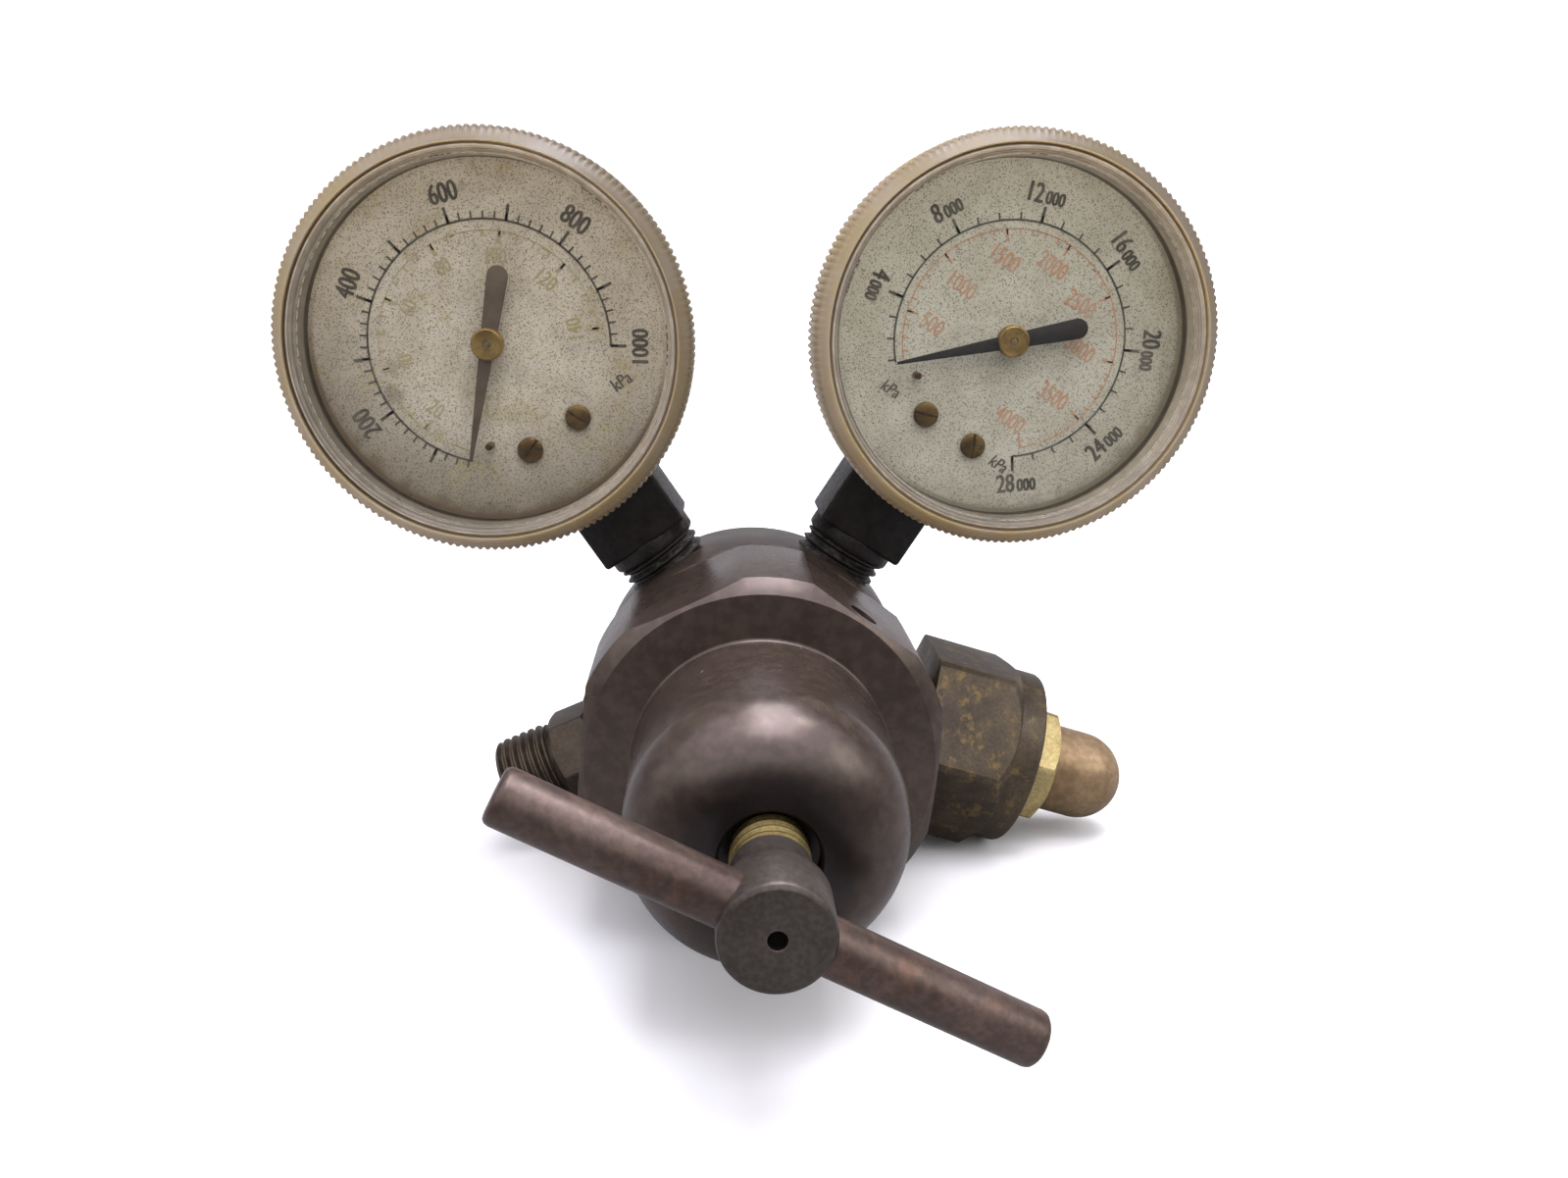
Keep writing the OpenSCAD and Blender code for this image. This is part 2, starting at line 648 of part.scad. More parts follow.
// The pointer's outline, with its tip along +x
module pointer_outline() {
    polygon([[pointer_len, tip_w / 2], [0, tail_w / 2], [0, -tail_w / 2], [pointer_len, -tip_w / 2]]);
    translate([tail_w / 2 - tail_len, -tail_w / 2]) square([tail_len - tail_w / 2, tail_w]);
    translate([tail_w / 2 - tail_len, 0]) circle(r = tail_w / 2);
}

module pointer(side, zero) color("#2d2622") gauge(side) rotate([0, 0, -90 - zero]) difference() {
    union() {
        translate([0, 0, pointer_z]) linear_extrude(pointer_t) pointer_outline();
        rod(pointer_hub_r, pointer_z - 0.4, pointer_z + pointer_hub_t);
    }
    rod(shaft_r, 0, pointer_z + pointer_hub_t - 0.3);
}

// Straight-flanked teeth that leave some play, tips outwards
module gear_teeth(r, count, first, step) {
    half = PI * gear_module * 0.36 / 2;
    for (k = [0:count - 1]) rotate([0, 0, first + k * step]) polygon([
        [r - 1.4 * gear_module, -1.3 * half], [r + 0.85 * gear_module, -0.45 * half],
        [r + 0.85 * gear_module, 0.45 * half], [r - 1.4 * gear_module, 1.3 * half]]);
}

module pointer_shaft(side) color("#b9b9b4") gauge(side) {
    rod(shaft_r, frame_back_z, pointer_z + pointer_hub_t - 0.3);
    translate([0, 0, sector_z - 0.4]) linear_extrude(sector_t + 0.8) {
        circle(r = pinion_r - 1.2 * gear_module, $fn = 40);
        gear_teeth(pinion_r, pinion_teeth, pivot_dir, 360 / pinion_teeth);
    }
}

frame_posts = [[-4.5, 2.8], [9.5, 2.8], [-5.2, -11]];

module movement_frame(side) color("#c2a15a") gauge(side) difference() {
    union() {
        for (z = [frame_back_z, frame_front_z])
            translate([-6.8, block_top, z]) cube([18.6, 17.3, frame_plate]);
        for (p = frame_posts) translate([p[0], p[1], 0]) rod(1.2, frame_back_z, frame_front_z + 0.5);
    }
    rod(shaft_r + running_gap, frame_back_z - 1, dial_z);
    translate([pivot[0], pivot[1], 0]) rod(shaft_r + running_gap, frame_back_z - 1, dial_z);
}

module sector(side, sweep) color("#c2a15a") gauge(side) {
    swing = sector_swing(sweep);
    spare = 2;
    count = ceil(swing / tooth_pitch_angle) + 2 * spare;
    low = mesh_dir + (spare - count + 0.5) * tooth_pitch_angle;
    root_r = sector_r - 1.25 * gear_module;
    pin = tail_pin(sweep) - pivot;
    translate([pivot[0], pivot[1], 0]) {
        rod(shaft_r, frame_back_z, frame_front_z + frame_plate);
        translate([0, 0, sector_z]) linear_extrude(sector_t) difference() {
            union() {
                circle(r = 1.9);
                difference() {
                    polygon(concat([[0, 0]], arc([0, 0], root_r, low - 1.5, low + (count - 1) * tooth_pitch_angle + 1.5, 32)));
                    polygon(concat(
                        arc([0, 0], 3.2, low + 8, low + (count - 1) * tooth_pitch_angle - 8, 8),
                        arc([0, 0], root_r - 1.6, low + (count - 1) * tooth_pitch_angle - 5, low + 5, 16)));
                }
                gear_teeth(sector_r, count, low, tooth_pitch_angle);
                rotate([0, 0, atan2(pin[1], pin[0])]) translate([0, -1.1]) square([sector_tail, 2.2]);
                translate(pin) circle(r = 1.5);
            }
            translate(pin) circle(r = link_pin_r + link_play);
        }
    }
}

module link(side, sweep) color("#b9b9b4") gauge(side) {
    foot = tail_pin(sweep);
    run = tip_pin - foot;
    translate([0, 0, link_z]) linear_extrude(link_t) difference() {
        union() {
            translate(foot) circle(r = 1.3);
            translate(tip_pin) circle(r = 1.3);
            translate(foot) rotate([0, 0, atan2(run[1], run[0])]) translate([0, -0.8]) square([norm(run), 1.6]);
        }
        translate(tip_pin) circle(r = link_pin_r + running_gap);
    }
    translate([foot[0], foot[1], 0]) rod(link_pin_r, sector_z, link_z);
}

module tube_tip(side) color("#c2a15a") gauge(side) {
    translate([tip_pin[0] - 1.2, tip_pin[1] - 2, -tube_w / 2]) cube([2.4, 3.6, link_z + tube_w / 2 - face_gap]);
    translate([tip_pin[0], tip_pin[1], 0]) rod(link_pin_r, 0, link_z + link_t + 0.3);
}

// The flattened tube's section and the arc that it follows round the movement
module tube_section(grow = 0) {
    t = tube_t + 2 * grow;
    w = tube_w + 2 * grow;
    translate([-t / 2, t / 2 - w / 2]) square([t, w - t]);
    for (y = [-1, 1]) translate([0, y * (w / 2 - t / 2)]) circle(r = t / 2, $fn = 24);
}

module tube_path() rotate([0, 0, tip_dir]) rotate_extrude(angle = 360 + tube_start - tip_dir)
    translate([tube_r, 0]) children();

module bourdon_tube(side) color("#b8935a") gauge(side) tube_path() tube_section();

// ---- Nodes ----

body();
bonnet();
slip_ring();
diaphragm();
diaphragm_plate();
diaphragm_pusher();
adjusting_spring();
spring_button();
adjusting_screw();
handle_bar();
nozzle();
valve_stem();
valve_seat();
seat_spring();
inlet_nipple();
inlet_nut();
inlet_filter();
outlet_fitting();
socket(left);  // left_socket
gauge_case(left);  // left_case
case_screws(left);  // left_case_screws
window(left);  // left_window
dial(left);  // left_dial
dial_fixings(left, left_zero);  // left_dial_fixings
pointer(left, left_zero);  // left_pointer
pointer_shaft(left);  // left_pointer_shaft
movement_frame(left);  // left_movement_frame
sector(left, left_sweep);  // left_sector
link(left, left_sweep);  // left_link
tube_tip(left);  // left_tube_tip
bourdon_tube(left);  // left_bourdon_tube
socket(right);  // right_socket
gauge_case(right);  // right_case
case_screws(right);  // right_case_screws
window(right);  // right_window
dial(right);  // right_dial
dial_fixings(right, right_zero);  // right_dial_fixings
pointer(right, right_zero);  // right_pointer
pointer_shaft(right);  // right_pointer_shaft
movement_frame(right);  // right_movement_frame
sector(right, right_sweep);  // right_sector
link(right, right_sweep);  // right_link
tube_tip(right);  // right_tube_tip
bourdon_tube(right);  // right_bourdon_tube
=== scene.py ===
"""Looks of a two-gauge pressure regulator: metal parts, dials, windows, finishes, light and camera.

Every piece is modelled in its own part frame in millimetres and then placed, in metres, in the row frame.
"""

import json
import logging
import math
from dataclasses import dataclass, field
from enum import Enum

import bpy
from mathutils import Matrix, Vector

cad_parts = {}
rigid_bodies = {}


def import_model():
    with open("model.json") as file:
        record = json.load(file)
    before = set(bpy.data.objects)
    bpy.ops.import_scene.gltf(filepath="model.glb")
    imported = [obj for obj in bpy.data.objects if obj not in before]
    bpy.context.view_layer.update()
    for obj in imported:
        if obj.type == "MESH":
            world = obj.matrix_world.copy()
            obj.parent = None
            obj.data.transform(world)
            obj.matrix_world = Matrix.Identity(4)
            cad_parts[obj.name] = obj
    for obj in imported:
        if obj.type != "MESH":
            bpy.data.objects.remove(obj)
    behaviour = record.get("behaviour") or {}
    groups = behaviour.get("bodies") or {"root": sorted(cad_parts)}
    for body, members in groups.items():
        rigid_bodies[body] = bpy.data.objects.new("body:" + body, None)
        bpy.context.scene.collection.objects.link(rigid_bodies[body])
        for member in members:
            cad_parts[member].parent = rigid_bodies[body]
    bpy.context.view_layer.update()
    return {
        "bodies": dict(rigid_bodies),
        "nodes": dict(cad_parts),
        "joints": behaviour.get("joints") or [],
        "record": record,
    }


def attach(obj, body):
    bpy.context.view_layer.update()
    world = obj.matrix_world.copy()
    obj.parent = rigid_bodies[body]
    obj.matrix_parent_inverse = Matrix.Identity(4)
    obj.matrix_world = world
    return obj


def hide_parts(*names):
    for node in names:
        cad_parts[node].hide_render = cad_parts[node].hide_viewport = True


LOG = logging.getLogger("regulator")

Outline = list[tuple[float, float]]
Colour = tuple[float, float, float]
Place = tuple[float, float, float]
Socket = bpy.types.NodeSocket

MM = 0.001
FULL_TURN = math.tau
CENTRE = (0.0, 0.0, 0.0)
CLOCKWISE = (0.0, 0.0, 1.0)
COUNTER = (0.0, 0.0, -1.0)
MERGE_GAP = 1e-3
GROOVE_R = 26.18
CAPITAL_SHARE = 0.72


# ---------------------------------------------------------------- frames


def turn(degrees: float, axis: str) -> Matrix:
    """Returns a turn about one of the axes X, Y or Z."""
    return Matrix.Rotation(math.radians(degrees), 4, axis)


def shift(x: float = 0.0, y: float = 0.0, z: float = 0.0) -> Matrix:
    """Returns a move by x, y and z."""
    return Matrix.Translation((x, y, z))


@dataclass(frozen=True)
class Layout:
    """Where the part frames stand, in millimetres, as the frame's solids have them."""

    axis_y: float = 43.694
    axis_z: float = 27.0445
    port_z: float = 10.0
    inlet_dir: float = -17.5
    outlet_dir: float = 202.5
    gauge_lean: float = 33.5
    gauge_reach: float = 66.5

    def forward(self) -> Matrix:
        """Returns the frame whose z runs from the body's back towards the handle."""
        return Matrix.Scale(MM, 4) @ shift(0.0, self.axis_y, self.axis_z) @ turn(90.0, "X")

    def port(self, direction: float) -> Matrix:
        """Returns the frame of a port.

        Args:
            direction: The port's direction, counter-clockwise from +X as seen from the front.

        Returns:
            A frame whose z runs outwards from the body's axis.
        """
        return self.forward() @ shift(z=self.port_z) @ turn(direction, "Z") @ turn(90.0, "Y")

    def gauge(self, side: int) -> Matrix:
        """Returns a gauge's frame: centre of the dial, y away from the body, z towards the viewer."""
        leaning = self.forward() @ shift(z=self.port_z) @ turn(side * self.gauge_lean, "Z")
        return leaning @ shift(y=self.gauge_reach)


LAYOUT = Layout()


# ---------------------------------------------------------------- modelling


def settle() -> None:
    """Leaves edit mode and selects nothing."""
    if bpy.context.object is not None and bpy.context.mode != "OBJECT":
        bpy.ops.object.mode_set(mode="OBJECT")
    bpy.ops.object.select_all(action="DESELECT")


def pick(*objs: bpy.types.Object) -> None:
    """Selects these objects alone and makes the first one active.

    Args:
        *objs: The objects to select.
    """
    settle()
    for obj in objs:
        obj.select_set(True)
    bpy.context.view_layer.objects.active = objs[0]


def edit(obj: bpy.types.Object, select: str = "SELECT") -> None:
    """Opens an object's mesh in edit mode with all of it selected or deselected.

    Args:
        obj: The object to open.
        select: SELECT for all of its mesh or DESELECT for none.
    """
    pick(obj)
    bpy.ops.object.mode_set(mode="EDIT")
    bpy.ops.mesh.select_mode(type="VERT")
    bpy.ops.mesh.select_all(action=select)


def shut() -> None:
    """Closes edit mode."""
    bpy.ops.object.mode_set(mode="OBJECT")


def arc(cx: float, cy: float, radius: float, start: float, end: float, steps: int) -> Outline:
    """Returns the points of an arc.

    Args:
        cx: Centre, first coordinate.
        cy: Centre, second coordinate.
        radius: Radius of the arc.
        start: First angle in degrees.
        end: Last angle in degrees.
        steps: Number of straight steps.

    Returns:
        steps + 1 points.
    """
    angles = [math.radians(start + (end - start) * i / steps) for i in range(steps + 1)]
    return [(cx + radius * math.cos(a), cy + radius * math.sin(a)) for a in angles]


def chain(name: str, points: list[Place]) -> bpy.types.Object:
    """Draws a chain of edges by extruding one vertex from point to point, and stays in edit mode.

    Args:
        name: Name of the new object.
        points: Places of the vertices, in millimetres.

    Returns:
        The new object.
    """
    settle()
    bpy.ops.mesh.primitive_plane_add(size=1.0)
    obj = bpy.context.object
    obj.name = obj.data.name = name
    bpy.ops.object.mode_set(mode="EDIT")
    bpy.ops.mesh.select_mode(type="VERT")
    bpy.ops.mesh.select_all(action="SELECT")
    bpy.ops.mesh.merge(type="CENTER")
    bpy.ops.transform.translate(value=points[0])
    for before, after in zip(points, points[1:]):
        step = [b - a for a, b in zip(before, after)]
        bpy.ops.mesh.extrude_vertices_move(TRANSFORM_OT_translate={"value": step})
    return obj


def tidy_mesh(gap: float = MERGE_GAP) -> None:
    """Merges doubles and points the faces outwards, in edit mode.

    Args:
        gap: Distance below which vertices merge.
    """
    bpy.ops.mesh.select_all(action="SELECT")
    bpy.ops.mesh.remove_doubles(threshold=gap)
    bpy.ops.mesh.select_all(action="SELECT")
    bpy.ops.mesh.normals_make_consistent(inside=False)


def turned(name: str, outline: Outline, closed: bool = False, steps: int = 96) -> bpy.types.Object:
    """Turns an outline about z, as on a lathe.

    Args:
        name: Name of the new object.
        outline: Radius and height of each point.
        closed: True where the outline's end joins its start.
        steps: Steps of the full turn.

    Returns:
        The turned object.
    """
    ring = outline + [outline[0]] if closed else outline
    obj = chain(name, [(r, 0.0, z) for r, z in ring])
    bpy.ops.mesh.select_all(action="SELECT")
    bpy.ops.mesh.spin(steps=steps, angle=FULL_TURN, center=CENTRE, axis=CLOCKWISE)
    tidy_mesh()
    shut()
    return obj


def cut(normal: Place, reach: float) -> None:
    """Cuts off what lies beyond a plane and closes the cut, in edit mode."""
    bpy.ops.mesh.select_all(action="SELECT")
    place_of_cut = tuple(reach * n for n in normal)
    bpy.ops.mesh.bisect(plane_co=place_of_cut, plane_no=normal, use_fill=True, clear_outer=True)


def cut_flats(obj: bpy.types.Object, across: float, first: float, count: int = 6) -> None:
    """Cuts flats around z.

    Args:
        obj: The turned blank.
        across: Size across the flats.
        first: Direction of the first flat in degrees.
        count: Number of flats.
    """
    edit(obj)
    for k in range(count):
        a = math.radians(first + k * 360.0 / count)
        cut((math.cos(a), math.sin(a), 0.0), across / 2.0)
    tidy_mesh()
    shut()


def soften(obj: bpy.types.Object, width: float, segments: int = 2, angle: float = 28.0) -> None:
    """Rounds the sharp edges with an applied Bevel modifier.

    Args:
        obj: The object to round.
        width: Width of the bevel.
        segments: Segments across it.
        angle: Smallest angle between faces, in degrees, that counts as sharp.
    """
    pick(obj)
    bpy.ops.object.modifier_add(type="BEVEL")
    bevel = obj.modifiers[-1]
    bevel.width = width
    bevel.segments = segments
    bevel.limit_method = "ANGLE"
    bevel.angle_limit = math.radians(angle)
    bevel.use_clamp_overlap = True
    bpy.ops.object.modifier_apply(modifier=bevel.name)


def carve(obj: bpy.types.Object, *cutters: bpy.types.Object, operation: str = "DIFFERENCE") -> None:
    """Cuts other objects out of one, or keeps what they share, and deletes them.

    Args:
        obj: The object to cut.
        *cutters: The objects that cut it.
        operation: DIFFERENCE to cut out, INTERSECT to keep what they share.
    """
    for cutter in cutters:
        pick(obj)
        bpy.ops.object.modifier_add(type="BOOLEAN")
        boolean = obj.modifiers[-1]
        boolean.object = cutter
        boolean.operation = operation
        boolean.solver = "EXACT"
        bpy.ops.object.modifier_apply(modifier=boolean.name)
        bpy.data.objects.remove(cutter)


def brick(name: str, low: Place, high: Place) -> bpy.types.Object:
    """Adds a cube stretched between two corners, to be bevelled or cut with.

    Args:
        name: Name of the new object.
        low: Its lowest corner.
        high: Its highest corner.

    Returns:
        The box.
    """
    settle()
    bpy.ops.mesh.primitive_cube_add(size=1.0)
    obj = bpy.context.object
    obj.name = obj.data.name = name
    edit(obj)
    bpy.ops.transform.resize(value=[h - l for l, h in zip(low, high)])
    bpy.ops.transform.translate(value=[(h + l) / 2.0 for l, h in zip(low, high)])
    shut()
    return obj


def plate_from(name: str, outline: Outline, low: float, high: float) -> bpy.types.Object:
    """Fills a flat outline and extrudes it from one height to another.

    Args:
        name: Name of the new object.
        outline: Its outline in x and y.
        low: Height of its lower face.
        high: Height of its upper face.

    Returns:
        The plate.
    """
    obj = chain(name, [(x, y, low) for x, y in outline + [outline[0]]])
    bpy.ops.mesh.select_all(action="SELECT")
    bpy.ops.mesh.remove_doubles(threshold=MERGE_GAP)
    bpy.ops.mesh.select_all(action="SELECT")
    bpy.ops.mesh.edge_face_add()
    bpy.ops.mesh.extrude_region_move(TRANSFORM_OT_translate={"value": (0.0, 0.0, high - low)})
    tidy_mesh()
    shut()
    return obj


def wound_thread(
    name: str, crest: float, root: float, pitch: float, low: float, high: float, steps: int = 40
) -> bpy.types.Object:
    """Winds one thread's outline into a helix and cuts both ends square.

    Args:
        name: Name of the new object.
        crest: Radius of the crests.
        root: Radius of the roots.
        pitch: Distance from crest to crest.
        low: Height of the lower end.
        high: Height of the upper end.
        steps: Steps for each turn.

    Returns:
        A closed, solid thread.
    """
    start = low - 1.5 * pitch
    shape = [(root, 0.0), (root, 0.10), (crest, 0.42), (crest, 0.58), (root, 0.90), (root, 1.0)]
    obj = chain(name, [(r, 0.0, start + share * pitch) for r, share in shape])
    shut()
    pick(obj)
    bpy.ops.object.modifier_add(type="SCREW")
    screw = obj.modifiers[-1]
    screw.axis = "Z"
    screw.angle = FULL_TURN
    screw.screw_offset = pitch
    screw.iterations = math.ceil((high - low) / pitch) + 3
    screw.steps = screw.render_steps = steps
    bpy.ops.object.modifier_apply(modifier=screw.name)
    edit(obj)
    bpy.ops.mesh.remove_doubles(threshold=MERGE_GAP)
    cut((0.0, 0.0, 1.0), high)
    cut((0.0, 0.0, -1.0), -low)
    tidy_mesh()
    shut()
    return obj


def joined(name: str, *objs: bpy.types.Object) -> bpy.types.Object:
    """Joins objects into one with a new name.

    Args:
        name: Name of the joined object.
        *objs: The objects to join.

    Returns:
        The one object.
    """
    pick(*objs)
    if len(objs) > 1:
        bpy.ops.object.join()
    obj = bpy.context.object
    obj.name = obj.data.name = name
    return obj


def smooth(obj: bpy.types.Object, angle: float = 32.0) -> None:
    """Shades a piece smooth across edges flatter than an angle."""
    pick(obj)
    bpy.ops.object.shade_smooth_by_angle(angle=math.radians(angle))


def place(obj: bpy.types.Object, frame: Matrix) -> bpy.types.Object:
    """Puts a finished mesh into a part frame and leaves its object at the origin.

    Args:
        obj: The object to move.
        frame: The part frame.

    Returns:
        The same object.
    """
    pick(obj)
    obj.matrix_world = frame
    bpy.ops.object.transform_apply(location=True, rotation=True, scale=True)
    return obj


# ---------------------------------------------------------------- shader helpers


class Sheet:
    """One node tree being laid out."""

    def __init__(self, tree: bpy.types.NodeTree) -> None:
        """Takes the tree to fill."""
        self.tree = tree

    def add(self, kind: str, inputs: dict | None = None, **settings: object) -> bpy.types.Node:
        """Adds a node.

        Args:
            kind: The node's type name without the ShaderNode prefix.
            inputs: Values or sockets for its inputs, by name or number.
            **settings: Values for the node's own properties.

        Returns:
            The new node.
        """
        node = self.tree.nodes.new("ShaderNode" + kind)
        for key, value in settings.items():
            setattr(node, key, value)
        for key, value in (inputs or {}).items():
            self.feed(node.inputs[key], value)
        return node

    def feed(self, socket: Socket, value: object) -> None:
        """Links a socket to another, or sets its value.

        Args:
            socket: The input to feed.
            value: A socket to link, or a value to set.
        """
        if isinstance(value, Socket):
            self.tree.links.new(value, socket)
        elif isinstance(value, tuple) and socket.type == "RGBA" and len(value) == 3:
            socket.default_value = (*value, 1.0)
        else:
            socket.default_value = value

    def use(self, group: bpy.types.NodeTree, **inputs: object) -> Socket | dict[str, Socket]:
        """Places a shared group and returns its mask, or its outputs by name where it has more.

        Args:
            group: The group's tree.
            **inputs: Values or sockets for its inputs.

        Returns:
            Its one output, or its outputs by name.
        """
        node = self.add("Group", node_tree=group)
        for key, value in inputs.items():
            self.feed(node.inputs[key], value)
        return node.outputs[0] if len(node.outputs) == 1 else dict(node.outputs.items())

    def maths(self, operation: str, a: object, b: object = 0.0, clamp: bool = False) -> Socket:
        """Adds a Math node and returns its result."""
        return self.add("Math", {0: a, 1: b}, operation=operation, use_clamp=clamp).outputs[0]

    def product(self, a: object, b: object, clamp: bool = False) -> Socket:
        """Multiplies two values."""
        return self.maths("MULTIPLY", a, b, clamp)

    def total(self, a: object, b: object, clamp: bool = False) -> Socket:
        """Adds two values."""
        return self.maths("ADD", a, b, clamp)

    def spread(
        self, value: object, low: float, high: float, to_low: object = 0.0, to_high: object = 1.0
    ) -> Socket:
        """Maps a range onto another with a smooth step, clamped at both ends."""
        inputs = {"Value": value, "From Min": low, "From Max": high, "To Min": to_low, "To Max": to_high}
        return self.add("MapRange", inputs, interpolation_type="SMOOTHSTEP").outputs["Result"]

    def mix(self, share: object, a: object, b: object, blend: str = "MIX") -> Socket:
        """Mixes two colours and returns the result.

        Args:
            share: Share of the second colour.
            a: The first colour.
            b: The second colour.
            blend: How they are blended.

        Returns:
            The mixed colour.
        """
        node = self.add("Mix", data_type="RGBA", blend_type=blend, clamp_factor=True)
        for number, value in ((0, share), (6, a), (7, b)):
            self.feed(node.inputs[number], value)
        return node.outputs[2]

    def toned(self, colour: object, level: Socket) -> Socket:
        """Multiplies a colour by a level."""
        grey = self.add("CombineColor", {0: level, 1: level, 2: level}).outputs[0]
        return self.mix(1.0, colour, grey, "MULTIPLY")

    def noise(self, vector: object, scale: object, detail: float = 3.0, rough: float = 0.55) -> Socket:
        """Adds a noise texture and returns its value."""
        inputs = {"Vector": vector, "Scale": scale, "Detail": detail, "Roughness": rough}
        return self.add("TexNoise", inputs).outputs[0]

    def split(self, vector: object) -> dict[str, Socket]:
        """Returns a vector's X, Y and Z."""
        return dict(self.add("SeparateXYZ", {0: vector}).outputs.items())

    def normal(self) -> Socket:
        """Returns the surface's normal."""
        return self.add("NewGeometry").outputs["Normal"]

    def flattened(self, local: Socket) -> tuple[Socket, Socket]:
        """Returns local coordinates without their height, and their distance from the axis."""
        flat = self.add("VectorMath", {0: local, 1: (1.0, 1.0, 0.0)}, operation="MULTIPLY").outputs[0]
        return flat, self.add("VectorMath", {0: flat}, operation="LENGTH").outputs["Value"]


class GroupSheet(Sheet):
    """A shared group being laid out, with its inputs and outputs."""

    def __init__(self, name: str, inputs: dict[str, float], *outputs: str) -> None:
        """Starts the group.

        Args:
            name: Name of the group.
            inputs: Its float inputs with their usual values, which follow a vector input called Vector.
            *outputs: Names of its float outputs.
        """
        super().__init__(bpy.data.node_groups.new(name, "ShaderNodeTree"))
        add = self.tree.interface.new_socket
        add(name="Vector", in_out="INPUT", socket_type="NodeSocketVector")
        for label, value in inputs.items():
            add(name=label, in_out="INPUT", socket_type="NodeSocketFloat").default_value = value
        for label in outputs:
            add(name=label, in_out="OUTPUT", socket_type="NodeSocketFloat")
        self.given = self.tree.nodes.new("NodeGroupInput").outputs
        self.wanted = self.tree.nodes.new("NodeGroupOutput").inputs


class MaterialSheet(Sheet):
    """A material being laid out, with its Principled node and its Object coordinates."""

    def __init__(self, name: str) -> None:
        """Starts the material.

        Args:
            name: Name of the material.
        """
        self.material = bpy.data.materials.new(name)
        self.material.use_nodes = True
        super().__init__(self.material.node_tree)
        self.shader = self.tree.nodes["Principled BSDF"]
        self.coordinates = self.add("TexCoord").outputs["Object"]

    def dress(self, **inputs: object) -> None:
        """Feeds the shader's inputs, given by their names with _ for a space."""
        for key, value in inputs.items():
            self.feed(self.shader.inputs[key.replace("_", " ")], value)

    def local(self, frame: Matrix) -> Socket:
        """Returns coordinates in millimetres in a part's own frame.

        Args:
            frame: The part frame.

        Returns:
            The coordinates.
        """
        mapping = self.add("Mapping", {"Vector": self.coordinates}, vector_type="TEXTURE")
        mapping.inputs["Location"].default_value = frame.to_translation()
        mapping.inputs["Rotation"].default_value = frame.to_euler("XYZ")
        mapping.inputs["Scale"].default_value = (MM, MM, MM)
        return mapping.outputs[0]

    def let_light_through(self, tint: Colour) -> None:
        """Lets lamps and the room's soft light pass, in this tint, onto what lies behind.

        Args:
            tint: Colour that the light takes on.
        """
        clear = self.add("BsdfTransparent", {"Color": tint})
        path = self.add("LightPath").outputs
        passing = self.maths("MAXIMUM", path["Is Shadow Ray"], path["Is Diffuse Ray"])
        mixer = self.add("MixShader", {0: passing, 1: self.shader.outputs[0], 2: clear.outputs[0]})
        end = next(n for n in self.tree.nodes if n.type == "OUTPUT_MATERIAL")
        self.feed(end.inputs["Surface"], mixer.outputs[0])


